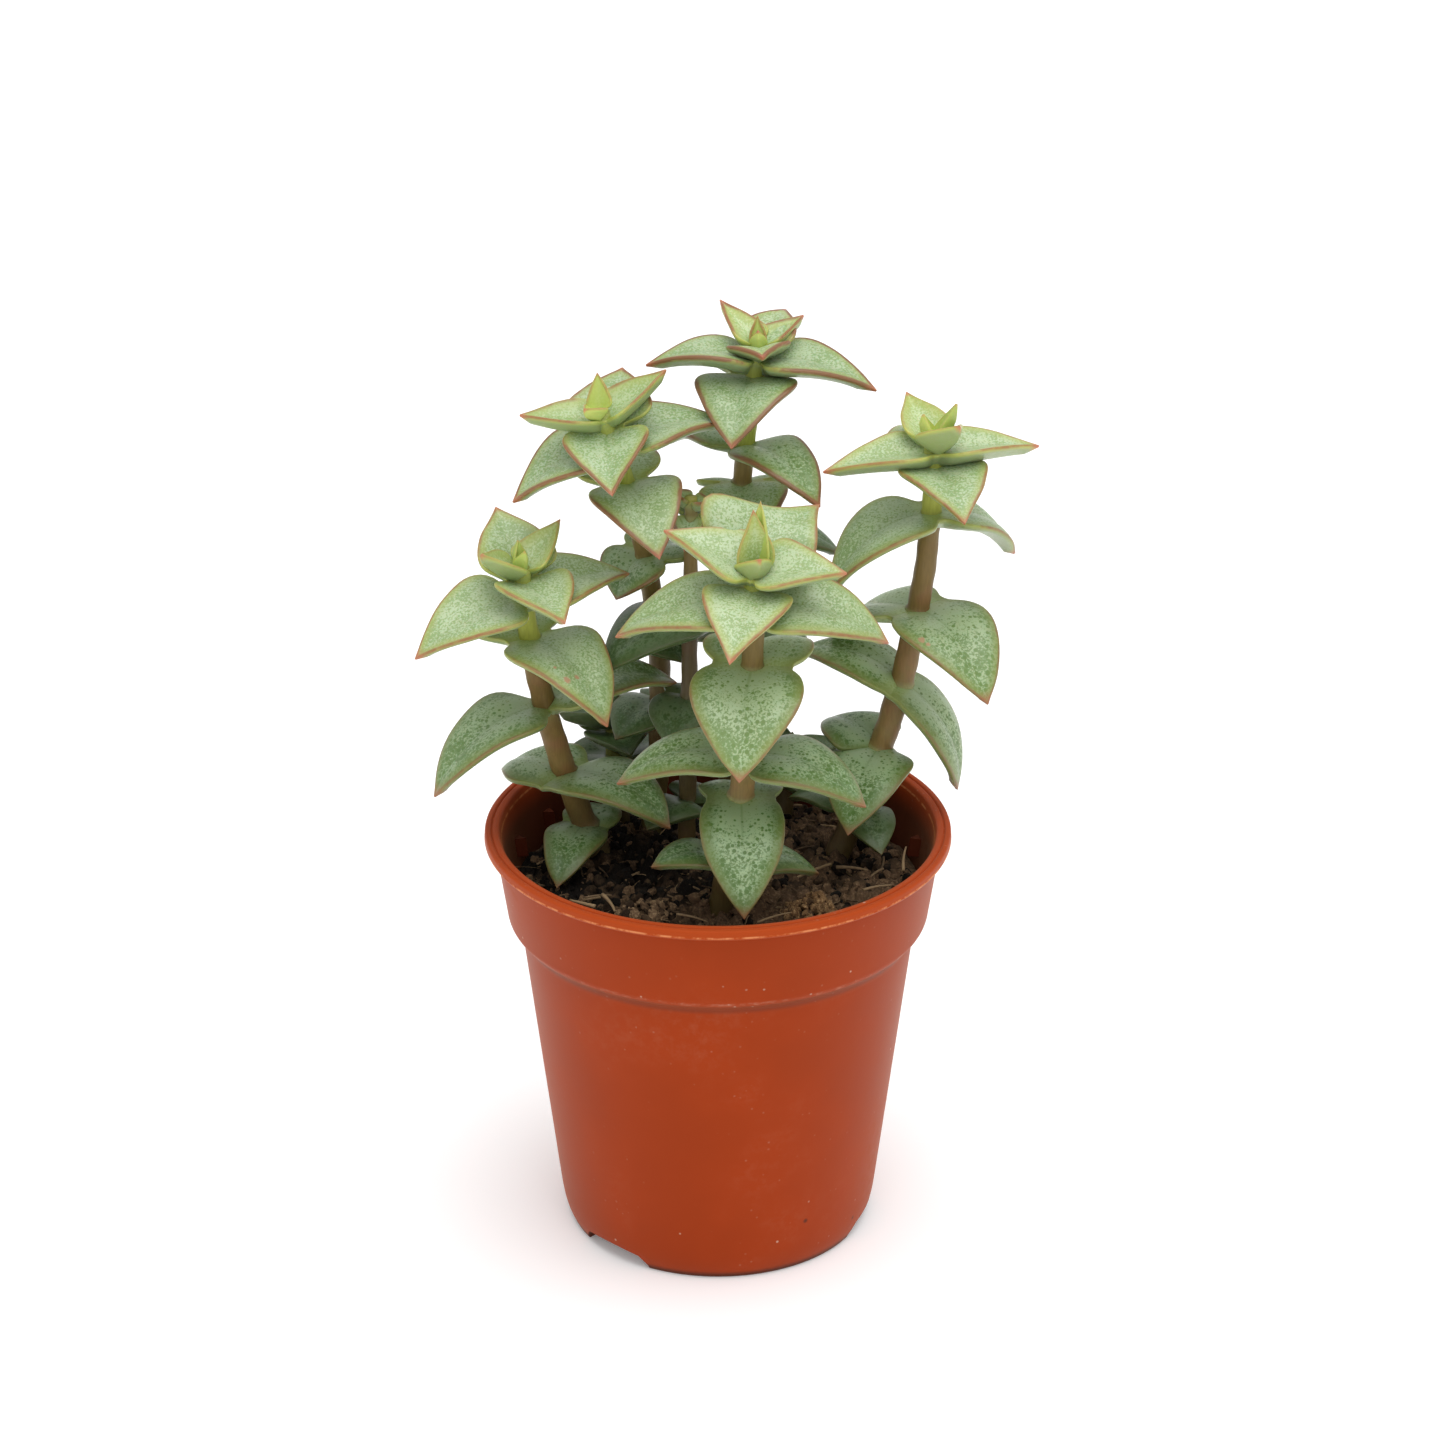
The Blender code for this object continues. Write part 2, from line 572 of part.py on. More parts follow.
def add_blade(line, ends, group):
    """Add a closed blade: a ring at each frame, and the two ends drawn together to a point."""
    shape = bmesh.new()
    rings = [[shape.verts.new(point) for point in ring_points(frame)] for frame in line]
    first, last = [shape.verts.new(end) for end in ends]
    for ring, following in zip(rings, rings[1:]):
        for k in range(SECTION_POINTS):
            after = (k + 1) % SECTION_POINTS
            a, b, c, d = ring[k], ring[after], following[after], following[k]
            if k < UPPER_POINTS:
                shape.faces.new((a, b, c))
                shape.faces.new((a, c, d))
            else:
                shape.faces.new((a, b, d))
                shape.faces.new((b, c, d))
    for k in range(SECTION_POINTS):
        after = (k + 1) % SECTION_POINTS
        shape.faces.new((first, rings[0][after], rings[0][k]))
        shape.faces.new((last, rings[-1][k], rings[-1][after]))
    bmesh.ops.recalc_face_normals(shape, faces=shape.faces)
    mesh = bpy.data.meshes.new("blade")
    shape.to_mesh(mesh)
    shape.free()
    add_object("blade", mesh, group)


def build_pair(shoot, pair, age, group):
    """Two leaves through the stem: one blade from tip to tip where they stand opposite."""
    z, breadth, first, second = pair
    node = stem_point(shoot, z * MM)
    up = crown_up(shoot, z * MM)
    near = leaf_rings(node, up, first, breadth, age)
    far = leaf_rings(node, up, second, breadth, age)
    tips = [frames[-1][0] - frames[-1][2] * TIP_DROP * frames[-1][4] for frames in (near, far)]
    spread = (near[1][0] - node).angle(far[1][0] - node)
    if spread < math.radians(OPPOSITE_LIMIT):
        for frames, tip, step in ((near, tips[0], NEAR_STEP), (far, tips[1], FAR_STEP)):
            shift = frames[1][0] - node
            moved = [(middle + step * shift, side, rising, half * share, *rest)
                     for (middle, side, rising, half, *rest), share in zip(frames, LONE_SHARES)]
            heel = node - shift - up * HEEL_DROP
            add_blade(moved, (heel, tip), group)
        return
    turned = [(middle, -side, *rest) for middle, side, *rest in reversed(near)]
    middle_side = (far[0][1] + turned[-1][1]).normalized()
    middle_up = (far[0][2] + turned[-1][2]).normalized()
    centre = (node, middle_side, middle_up, *far[0][3:])
    add_blade(turned[1:-1] + [centre] + far[1:-1], tips, group)


def build_shoot(name, shoot, group, cutters):
    """One leafy shoot: the stem and all its leaf pairs joined in one solid."""
    stem = build_stem(name, shoot, group)
    for age, pair in zip(shoot["ages"], shoot["pairs"]):
        build_pair(shoot, pair, age, cutters)
    combine(stem, cutters, "UNION")
    smooth_by_angle(stem.data, 50)
    stem.data.materials.append(principled(name + "_leaf", SHOOT_COLOURS[name], 0.55))


def main():
    """Build the potted plant."""
    clear_scene()
    group = new_collection("potted_string_of_buttons")
    cutters = new_collection("cutters")
    build_pot(group, cutters)
    build_soil(group, cutters)
    for name, shoot in SHOOTS.items():
        build_shoot(name, shoot, group, cutters)
    for thing in group.objects:
        thing.data.transform(Matrix.Translation((POT_AXIS_X, 0.0, 0.0)))


main()
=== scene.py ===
"""Looks of the potted string of buttons: waxy leaves on fused pairs, peat soil and a moulded pot.

Every piece here stands where its CAD node stands. Lengths in the tables are millimetres, and
lengths in the meshes are metres.
"""

import json
import logging
import math
import random
from dataclasses import dataclass, field, replace
from enum import Enum
from typing import Sequence

import bmesh
import bpy
from mathutils import Matrix, Vector, noise

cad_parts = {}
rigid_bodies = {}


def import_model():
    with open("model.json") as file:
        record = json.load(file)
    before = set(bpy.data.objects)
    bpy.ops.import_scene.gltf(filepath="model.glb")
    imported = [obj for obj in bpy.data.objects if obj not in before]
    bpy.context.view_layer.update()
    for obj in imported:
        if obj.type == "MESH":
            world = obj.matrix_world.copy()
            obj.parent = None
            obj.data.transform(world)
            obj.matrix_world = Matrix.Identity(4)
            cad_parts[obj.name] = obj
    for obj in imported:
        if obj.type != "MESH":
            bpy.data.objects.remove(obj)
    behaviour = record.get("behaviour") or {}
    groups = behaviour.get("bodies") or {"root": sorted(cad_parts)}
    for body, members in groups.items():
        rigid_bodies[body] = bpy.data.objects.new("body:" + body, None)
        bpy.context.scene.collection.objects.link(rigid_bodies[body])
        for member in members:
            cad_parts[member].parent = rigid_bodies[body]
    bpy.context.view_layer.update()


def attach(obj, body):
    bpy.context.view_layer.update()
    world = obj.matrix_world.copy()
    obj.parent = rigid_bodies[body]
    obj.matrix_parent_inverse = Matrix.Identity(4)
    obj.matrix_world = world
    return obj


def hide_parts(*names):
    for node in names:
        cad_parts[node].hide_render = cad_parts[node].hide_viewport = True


LOG = logging.getLogger("potted_string_of_buttons")
MM = 0.001
PER_MM = 1000.0
BODY = "root"

# The pot's axis stands beside the origin, as in the CAD model
POT_AXIS_X = -1.3 * MM

Colour = Triple = tuple[float, float, float]
Aged = tuple[Colour, Colour]
Spot = tuple[float, float]
Ring = Sequence[tuple[Vector, float, float, float]]
Mesh = bpy.types.Mesh
Node = bpy.types.Node
Socket = bpy.types.NodeSocket
Thing = bpy.types.Object


class LeafFace(Enum):
    """Parts of a leaf's section, by how far they lie below its upper margin, in millimetres."""

    UPPER = 0.0
    BAND = -0.25
    LOWER = -0.85


class Skin(Enum):
    """Material numbers of a leafy shoot's faces."""

    LEAF = 0
    STEM = 1


class Grain(Enum):
    """Kinds of loose matter on the soil."""

    CRUMB = "soil_crumbs"
    CLUMP = "soil_clump"
    HEAP = "soil_heap"
    FIBRE = "soil_fibres"


@dataclass(frozen=True)
class Number:
    """A number that a node gives. Plain arithmetic on it adds Math nodes."""

    web: "Web"
    socket: Socket

    def __add__(self, other: "Value") -> "Number":
        """Sum."""
        return self.web.math("ADD", self, other)

    def __sub__(self, other: "Value") -> "Number":
        """Difference."""
        return self.web.math("SUBTRACT", self, other)

    def __rsub__(self, other: float) -> "Number":
        """Difference from a fixed number."""
        return self.web.math("SUBTRACT", other, self)

    def __mul__(self, other: "Value") -> "Number":
        """Product."""
        return self.web.math("MULTIPLY", self, other)

    def __truediv__(self, other: "Value") -> "Number":
        """Quotient."""
        return self.web.math("DIVIDE", self, other)

    def __abs__(self) -> "Number":
        """The number without its sign."""
        return self.web.math("ABSOLUTE", self)

    def clamped(self) -> "Number":
        """The same number, kept from 0 to 1 by the Math node that gives it."""
        self.socket.node.use_clamp = True
        return self

    def step(self, low: float, high: float) -> "Number":
        """A smooth step: 0 at low and 1 at high, which may be the smaller one."""
        return self.web.number("ShaderNodeMapRange", {
            "Value": self, "From Min": min(low, high), "From Max": max(low, high),
            "To Min": float(low > high), "To Max": float(low < high),
        }, "Result", interpolation_type="SMOOTHSTEP")


Value = float | Number | Socket
Inputs = dict[str | int, object]


@dataclass(frozen=True)
class Web:
    """A node tree, with short calls to add and join its nodes."""

    tree: bpy.types.NodeTree

    def feed(self, node: Node, inputs: Inputs) -> None:
        """Feed a node's sockets, by name or number, with numbers, sockets or fixed values."""
        for key, value in inputs.items():
            socket = node.inputs[key]
            if isinstance(value, Number):
                value = value.socket
            if isinstance(value, bpy.types.NodeSocket):
                self.tree.links.new(value, socket)
            elif socket.type == "RGBA":
                socket.default_value = (*value, 1.0)
            else:
                socket.default_value = value

    def add(self, kind: str, inputs: Inputs, **settings: object) -> Node:
        """Add a node.

        Args:
            kind: the node's type name.
            inputs: what feeds its sockets.
            settings: properties to set on it first.

        Returns:
            The new node.
        """
        node = self.tree.nodes.new(kind)
        for name, value in settings.items():
            setattr(node, name, value)
        self.feed(node, inputs)
        return node

    def out(self, kind: str, inputs: Inputs, output: str | int = 0, **settings: object) -> Socket:
        """Add a node and take one of its outputs."""
        return self.add(kind, inputs, **settings).outputs[output]

    def number(self, kind: str, inputs: Inputs, output: str | int = 0,
               **settings: object) -> Number:
        """Add a node and take one of its outputs as a number."""
        return Number(self, self.out(kind, inputs, output, **settings))

    def math(self, operation: str, *values: Value) -> Number:
        """Join numbers with one Math node."""
        return self.number("ShaderNodeMath", dict(enumerate(values)), operation=operation)

    def most(self, first: Number, *others: Value) -> Number:
        """The largest of some numbers."""
        for other in others:
            first = self.math("MAXIMUM", first, other)
        return first

    def mix(self, share: Value, first: Colour | Socket, second: Colour | Socket) -> Socket:
        """Mix two colours."""
        return self.out("ShaderNodeMix", {"Factor": share, 6: first, 7: second}, 2,
                        data_type="RGBA", clamp_factor=True)

    def layers(self, colour: Colour | Socket,
               *rows: tuple[Value, Colour | Socket]) -> Socket:
        """Lay colours over one another, each with its share, from the lowest to the top."""
        for share, above in rows:
            colour = self.mix(share, colour, above)
        return colour

    def tinted(self, colour: Socket, value: Number, hue: Number) -> Socket:
        """A colour with its brightness multiplied and its hue turned, which 0.5 leaves as it is."""
        return self.out("ShaderNodeHueSaturation", {"Color": colour, "Value": value, "Hue": hue})

    def noise(self, vector: Socket, scale: float, detail: float = 2.0,
              rough: float = 0.6) -> Number:
        """Height of a noise texture with a scale per metre."""
        return self.number("ShaderNodeTexNoise", {
            "Vector": vector, "Scale": scale, "Detail": detail, "Roughness": rough}, "Fac")

    def cells(self, vector: Socket, scale: float) -> tuple[Number, Number]:
        """Distance to the nearest cell middle, in cells, and a random number of that cell."""
        node = self.add("ShaderNodeTexVoronoi", {"Vector": vector, "Scale": scale})
        chance = self.number("ShaderNodeSeparateColor", {0: node.outputs["Color"]})
        return Number(self, node.outputs["Distance"]), chance

    def place(self) -> Socket:
        """Object coordinates."""
        return self.out("ShaderNodeTexCoord", {}, "Object")

    def parts(self, vector: Socket) -> list[Number]:
        """The three numbers of a vector."""
        node = self.add("ShaderNodeSeparateXYZ", {0: vector})
        return [Number(self, node.outputs[k]) for k in range(3)]

    def attribute(self, name: str) -> list[Number]:
        """The three numbers of a mesh attribute."""
        return self.parts(self.out("ShaderNodeAttribute", {}, "Vector", attribute_name=name))



@dataclass(frozen=True)
class Finish:
    """A surface finish: its name, and the shader values that are the same all over it.

    The subsurface reach and the depth of the relief are millimetres.
    """

    name: str
    roughness: float = 0.5
    specular: float = 0.5
    subsurface: float = 0.0
    subsurface_reach: float = 1.0
    relief: float = 0.05
    relief_strength: float = 0.5

    def paint(self, web: Web) -> Inputs:
        """Build the pattern's nodes and return what feeds the shader."""
        raise NotImplementedError

    def bump(self, web: Web, height: Number) -> Socket:
        """The normal of a relief with a height from 0 to 1."""
        return web.out("ShaderNodeBump", {
            "Strength": self.relief_strength, "Distance": self.relief * MM, "Height": height,
        }, "Normal")

    def material(self) -> bpy.types.Material:
        """The finish's material, made the first time that it is asked for."""
        made = bpy.data.materials.get(self.name)
        if made:
            return made
        made = bpy.data.materials.new(self.name)
        made.use_nodes = True
        web = Web(made.node_tree)
        web.feed(made.node_tree.nodes["Principled BSDF"], {
            "Roughness": self.roughness, "Specular IOR Level": self.specular,
            "Subsurface Weight": self.subsurface, "Subsurface Scale": self.subsurface_reach * MM,
            **self.paint(web)})
        return made


@dataclass(frozen=True)
class LeafFinish(Finish):
    """Waxy leaf: pale bloom over green, dotted and mottled, with a red-brown line at its margin.

    It reads two attributes. leaf_place holds the share of the way along the leaf, the share
    across it and the millimetres in from the upper margin, which are below zero on the band and
    the lower side. leaf_kind holds the ripeness, a random number and the redness. A ripeness
    above one is a leaf that stands in shade: dark and with little bloom, partly its own darker
    green and partly painted shade. A redness above one is a deeper, purplish line. Colours in
    pairs are those of a young leaf and of a ripe one.
    """

    wax: Aged = ((0.51, 0.61, 0.385), (0.28, 0.385, 0.20))
    green: Aged = ((0.24, 0.37, 0.11), (0.068, 0.140, 0.024))
    band: Aged = ((0.46, 0.50, 0.12), (0.135, 0.175, 0.042))
    neck: Aged = ((0.50, 0.60, 0.13), (0.34, 0.42, 0.17))
    line: Aged = ((0.33, 0.115, 0.050), (0.165, 0.082, 0.034))
    tip: Aged = ((0.55, 0.18, 0.10), (0.26, 0.105, 0.048))
    under: Colour = (0.30, 0.36, 0.19)
    flush: Colour = (0.19, 0.045, 0.032)
    shaded: Colour = (0.032, 0.060, 0.018)
    scar: Colour = (0.42, 0.26, 0.14)
    scars: Sequence[tuple[float, float, float, float]] = (
        (-18.5, -8.6, 73.7, 0.75), (-17.4, -7.4, 73.5, 0.55), (-19.9, -7.5, 74.8, 0.35),
        (22.2, -2.3, 76.0, 0.70), (22.9, -2.8, 75.6, 0.45), (-17.1, 3.3, 50.9, 0.90),
    )
    grain: float = 3600.0
    drift_scale: float = 420.0
    break_scale: float = 900.0
    dot_scale: float = 1500.0

    def paint(self, web: Web) -> Inputs:
        """Join the bloom, dots, midrib, band, margin line, red tip and scars."""
        place = web.place()
        along, across, margin = web.attribute("leaf_place")
        age, seed, red = web.attribute("leaf_kind")
        ripe = web.math("MINIMUM", age, 1.0)
        outward = abs(across)
        fine = web.noise(place, self.grain, 3.0, 0.65)
        broad = web.noise(place, self.drift_scale, 2.0, 0.5)

        # Share of the surface that is green: everywhere on a young leaf, and on a ripe one mostly
        # towards the margin and the tip
        reach = web.most(along.step(0.12, 0.75), outward.step(0.35, 1.0))
        level = (1.0 - reach) * ripe * -0.22 + 0.52 + (broad * 0.30 - 0.15) + ripe * 0.03
        mottle = (level - fine).step(-0.06, 0.08) * (ripe * 0.16 + 0.72)

        # Dark dots of a ripe leaf: small by the stem, and large and close towards the margin
        distance, chance = web.cells(place, self.dot_scale)
        size = chance * 0.16 + (reach * 0.20 + 0.12)
        spot = (distance - size).step(0.07, -0.07) * ripe.step(0.2, 0.8)
        edge_mark = margin.step(2.4, 0.4) * (ripe * 0.55)
        green = web.most(mottle, edge_mark, spot)

        wax, tissue, band, neck, line, tip = (
            web.mix(ripe, *colours)
            for colours in (self.wax, self.green, self.band, self.neck, self.line, self.tip))
        upper = web.layers(
            wax, (green, tissue),
            (outward.step(0.05, 0.0) * along.step(0.75, 0.15) * 0.35, tissue),
            (along.step(0.16, 0.02) * 0.55, neck), (margin.step(1.5, 0.1) * 0.6, band))
        lower = web.mix(mottle * 0.35, self.under, tissue)
        edge = web.mix(margin.step(LeafFace.BAND.value, LeafFace.LOWER.value), band, lower)

        # The margin line is broken by a noise, and fades towards the stem
        wander = web.noise(place, self.break_scale, 3.0) * 1.6 - 1.0
        off = abs(margin + (broad * 0.4 - 0.10)) / (red * 0.6 + 0.4)
        share = (along.step(0.05, 0.45) * 1.1 + wander).clamped()
        stroke = (off.step(0.46, 0.06) * (share * red)).clamped() * (ripe * -0.15 + 0.90)
        point = along.step(0.88, 0.99) * (red * 2.0).clamped() * 0.75
        # The last layer is painted shade on leaves in shade, partly their own darker green
        side = web.layers(
            edge, (margin.step(LeafFace.UPPER.value - 0.10, 0.12), upper),
            (ripe.step(0.10, 0.0) * 0.9, self.neck[0]),
            (stroke, web.mix((red - 1.0).clamped(), line, self.flush)), (point, tip),
            *((self.scarred(web, place, fine, scar), self.scar) for scar in self.scars),
            ((age - 1.0).clamped() * 0.85, self.shaded))
        return {"Base Color": web.tinted(side, seed * 0.16 + 0.92, seed * -0.012 + 0.506),
                "Normal": self.bump(web, mottle * -0.4 + fine)}

    @staticmethod
    def scarred(web: Web, place: Socket, fine: Number, scar: Sequence[float]) -> Number:
        """Strength of one ragged scar, from its place and its radius in millimetres."""
        x, y, z, radius = (number * MM for number in scar)
        away = web.number("ShaderNodeVectorMath", {0: place, 1: (x, y, z)}, "Value",
                          operation="DISTANCE")
        return (fine * (1.2 * radius) + away).step(1.35 * radius, radius)


@dataclass(frozen=True)
class StemFinish(Finish):
    """Stem skin: yellow-green under the crown, tan and brown lower down, faintly streaked.

    Painted shade darkens it near the soil and on shoots that stand in shade.
    """

    top: Colour = (0.46, 0.50, 0.09)
    middle: Colour = (0.195, 0.126, 0.034)
    foot: Colour = (0.225, 0.155, 0.043)
    blush: Colour = (0.26, 0.105, 0.05)
    node: Colour = (0.30, 0.36, 0.14)
    painted_shade: Colour = (0.035, 0.028, 0.012)
    drift_scale: float = 160.0
    blush_scale: float = 300.0
    streak_scale: float = 4200.0
    streak_shape: Triple = (1.0, 1.0, 0.12)
    painted_shade_z: Spot = (56.0, 45.0)

    def paint(self, web: Web) -> Inputs:
        """Join the height's colours, the blush and the streaks."""
        place = web.place()
        share, _, near_node = web.attribute("leaf_place")
        shade, seed, fresh = web.attribute("leaf_kind")
        height = share + (web.noise(place, self.drift_scale) * 0.2 - 0.1)
        blush = web.noise(place, self.blush_scale).step(0.45, 0.7) * 0.35
        # Painted shade: darker near the soil, and on shoots that stand in shade
        low = web.parts(place)[2].step(*(z * MM for z in self.painted_shade_z))
        skin = web.layers(
            self.foot, (height.step(0.15, 0.5), self.middle),
            (blush * height.step(0.8, 0.6), self.blush), (fresh * 0.9, self.top),
            (near_node * 0.75, self.node), (web.most(low * 0.7, shade), self.painted_shade))
        drawn = web.out("ShaderNodeMapping", {"Vector": place, "Scale": self.streak_shape})
        streak = web.noise(drawn, self.streak_scale)
        return {"Base Color": web.tinted(skin, streak * 0.5 + 0.75, seed * -0.01 + 0.505),
                "Normal": self.bump(web, streak)}


@dataclass(frozen=True)
class PlasticFinish(Finish):
    """Moulded terracotta-coloured plastic, scuffed outside.

    Its colour holds painted light and shade: a rim painted brighter, a pale line on its lower edge
    that is partly a painted highlight, and painted shade under the collar and down the inner wall.
    """

    colour: Colour = (0.295, 0.033, 0.0045)
    scuff: Colour = (0.46, 0.20, 0.13)
    shade_colour: Colour = (0.055, 0.014, 0.008)
    speck: Colour = (0.62, 0.45, 0.34)
    dirt: Colour = (0.09, 0.02, 0.012)
    rim: Colour = (0.385, 0.052, 0.009)
    flash: Colour = (0.70, 0.27, 0.11)
    haze: Colour = (1.0, 0.58, 0.30)
    haze_weight: float = 0.11
    haze_roughness: float = 0.5
    gloss: Colour = (1.0, 0.72, 0.48)
    broad_scale: float = 55.0
    fine_scale: float = 700.0
    dust: Sequence[float] = (1500.0, 0.30, 0.12, 0.90)
    specks: Sequence[float] = (520.0, 0.11, 0.05, 0.93)
    crumbs: Sequence[float] = (330.0, 0.16, 0.06, 0.93)
    rim_z: Spot = (49.6, 50.4)
    crumbs_z: Spot = (14.0, 8.0)
    inner_shade_depth: Spot = (0.6, 4.0)

    @staticmethod
    def line(z: Number, middle: float, half: float) -> Number:
        """A soft level line round the pot: 1 at its middle height and 0 outside its half width."""
        return abs(z - middle * MM).step(half * MM, 0.3 * half * MM)

    @staticmethod
    def dots(web: Web, place: Socket, scale: float, size: float, core: float,
             rare: float) -> Number:
        """Scattered round dots.

        Args:
            web: the node tree.
            place: Object coordinates.
            scale: cells per metre, each with one dot at most.
            size: radius of a dot, in cells.
            core: radius of its full strength.
            rare: share of the cells that have none.

        Returns:
            The dots' strength.
        """
        distance, chance = web.cells(place, scale)
        return distance.step(size, core) * chance.step(rare, 0.95)

    def paint(self, web: Web) -> Inputs:
        """Join the scuffs, specks, stains and the faint unevenness of the moulding."""
        place = web.place()
        x, y, z = web.parts(place)
        away = x - POT_AXIS_X
        radius = web.math("SQRT", away * away + y * y)
        broad = web.noise(place, self.broad_scale, 3.0, 0.55)
        fine = web.noise(place, self.fine_scale, 4.0, 0.7)

        smear = broad.step(0.50, 0.72) * fine.step(0.42, 0.70)
        # A pale line on the rim's lower edge: partly moulding flash, partly a painted highlight
        edge_mark = self.line(z, Pot.rim_edge_z, 0.17) * fine.step(0.38, 0.60)
        chafe = self.line(z, Pot.chafe_z, 0.35) * fine.step(0.45, 0.70)
        dusty = web.most(self.line(z, Pot.chafe_z + 1.0, 2.5), 0.12) * broad.step(0.40, 0.62)
        dust, specks, crumbs = (self.dots(web, place, *row)
                                for row in (self.dust, self.specks, self.crumbs))
        # The rim's top is painted brighter: painted light where it faces up
        at_rim, low = (z.step(low * MM, high * MM) for low, high in (self.rim_z, self.crumbs_z))

        # The inner wall lies inside the middle of the wall's thickness
        slope = (Pot.collar_top - Pot.collar_foot) / (Pot.bead_z() - Pot.collar_foot_z)
        collar = (z - Pot.collar_foot_z * MM) * slope + (Pot.collar_foot - 0.5 * Pot.wall) * MM
        body = z * ((Pot.ledge - Pot.base) / Pot.ledge_z) + (Pot.base - 0.5 * Pot.wall) * MM
        wall = (collar - body) * z.step(Pot.ledge_z * MM, Pot.collar_foot_z * MM) + body
        inside = (wall - radius).step(0.0, 0.25 * MM)
        # Painted shade deepens down the inner wall below the rim
        depth = z.step(*((Pot.height - depth) * MM for depth in self.inner_shade_depth))

        # Uneven colour and smears, a rim painted brighter as painted light, a pale line along its
        # lower edge that is partly moulding flash and partly a painted highlight, painted shade on
        # the ledge under the collar, pale chafing along the collar's lower edge, dust above it,
        # specks all over, crumbs near the foot, and painted shade that deepens down the inner wall
        colour = web.layers(
            self.colour, (broad.step(0.35, 0.7), tuple(1.12 * c for c in self.colour)),
            (smear * 0.10, self.scuff), (at_rim, self.rim),
            (edge_mark * 0.75, self.flash), (self.line(z, Pot.ledge_z + 0.3, 1.1) * 0.45, self.shade_colour),
            (chafe * 0.45, self.scuff), (dust * dusty, self.speck), (specks * 0.6, self.speck),
            (crumbs * low, self.dirt), (inside * (depth * 0.85), self.shade_colour))
        return {"Base Color": colour,
                "Roughness": smear * 0.15 + (broad * 0.16 + (self.roughness - 0.08)),
                "Normal": self.bump(web, fine), "Specular Tint": self.gloss,
                "Sheen Weight": self.haze_weight, "Sheen Roughness": self.haze_roughness,
                "Sheen Tint": self.haze}


@dataclass(frozen=True)
class PeatFinish(Finish):
    """Peat: near black where it is wet, brown and tan where it crumbles.

    Painted shade darkens it on the left.
    """

    dark: Colour = (0.007, 0.0045, 0.0025)
    brown: Colour = (0.115, 0.068, 0.036)
    dry: Colour = (0.30, 0.195, 0.11)
    grain: float = 900.0
    dry_share: float = 0.5
    dry_front: Triple = (-3.0, -11.0, 0.30)
    left_painted_shade: Triple = (-14.0, 12.0, 0.28)
    dampness: float = 0.52

    def paint(self, web: Web) -> Inputs:
        """Join the dark, brown and dry colours and the grain. It is drier in front, and painted
        shade darkens it on the left.
        """
        place = web.place()
        across, back, _ = web.parts(place)
        coarse = web.noise(place, 0.3 * self.grain, 3.0)
        fine = web.noise(place, 3.0 * self.grain, 4.0, 0.7)
        # The front is drier, and painted shade darkens the left
        front, right = (
            number.step(first * MM, last * MM) * share
            for number, (first, last, share) in ((back, self.dry_front), (across, self.left_painted_shade)))
        tone = web.attribute("crumb_tone")[0] * 0.85
        level = coarse + (tone + (front + right - self.dampness))
        pale = fine.step(0.48, 0.66) * level.step(0.50, 0.85) * self.dry_share
        colour = web.layers(
            self.dark, (level.step(0.38, 0.85), self.brown), (pale, self.dry))
        return {"Base Color": colour, "Normal": self.bump(web, fine)}


@dataclass(frozen=True)
class StrawFinish(Finish):
    """Dry plant fibre, streaked along its length."""

    pale: Colour = (0.34, 0.23, 0.125)
    dark: Colour = (0.050, 0.028, 0.014)
    streak_scale: float = 1500.0

    def paint(self, web: Web) -> Inputs:
        """Join the two tones."""
        streak = web.noise(web.place(), self.streak_scale, 3.0)
        share = (web.attribute("crumb_tone")[0] + (streak * 0.6 - 0.3)).clamped()
        return {"Base Color": web.mix(share, self.dark, self.pale),
                "Normal": self.bump(web, streak)}


@dataclass(frozen=True)
class FloorFinish(Finish):
    """Plain pale floor, lit a little from below like a light table."""

    colour: Colour = (0.96, 0.96, 0.96)
    light: Colour = (1.0, 1.0, 1.0)
    glow: float = 0.12

    def paint(self, web: Web) -> Inputs:
        """Give the one colour and the light."""
        return {"Base Color": self.colour, "Emission Color": self.light,
                "Emission Strength": self.glow}


LEAF = LeafFinish("leaf_wax", roughness=0.36, subsurface=0.12, subsurface_reach=0.8, relief=0.03)
STEM = StemFinish("stem_skin", specular=0.4)
PLASTIC = PlasticFinish("pot_plastic_finish", roughness=0.46, specular=0.10, relief=0.02,
                        relief_strength=0.35)
PEAT = PeatFinish("peat_ground", roughness=0.9, specular=0.25, relief=0.25, relief_strength=0.9)
CRUMB = replace(PEAT, name="peat_crumb", brown=(0.15, 0.09, 0.048), grain=1200.0, dry_share=0.85)
HEAP = replace(PEAT, name="peat_heap", specular=0.2, dark=(0.030, 0.017, 0.009),
               brown=(0.20, 0.125, 0.068), dry=(0.46, 0.31, 0.18), grain=1100.0, dry_share=0.9)
CLUMP = replace(HEAP, name="peat_clump", dark=(0.036, 0.020, 0.010), brown=(0.21, 0.118, 0.052),
                dry=(0.52, 0.33, 0.16), grain=1300.0)
STRAW = StrawFinish("dry_fibre", roughness=0.75, specular=0.3, relief=0.08, relief_strength=0.6)
FLOOR = FloorFinish("pale_floor", roughness=0.9, specular=0.1)


def new_object(name: str, data: bpy.types.ID) -> Thing:
    """Put a mesh, a light or a camera in the scene as a named object at the origin."""
    thing = bpy.data.objects.new(name, data)
    bpy.context.scene.collection.objects.link(thing)
    return thing


def mesh_of(shape: bmesh.types.BMesh, name: str) -> Mesh:
    """Keep a worked shape as a mesh, and free the shape."""
    mesh = bpy.data.meshes.new(name)
    shape.to_mesh(mesh)
    shape.free()
    return mesh


def applied(thing: Thing) -> None:
    """Turn an object's modifiers into its plain mesh."""
    bpy.context.view_layer.update()
    graph = bpy.context.evaluated_depsgraph_get()
    mesh = bpy.data.meshes.new_from_object(thing.evaluated_get(graph))
    thing.modifiers.clear()
    thing.data = mesh


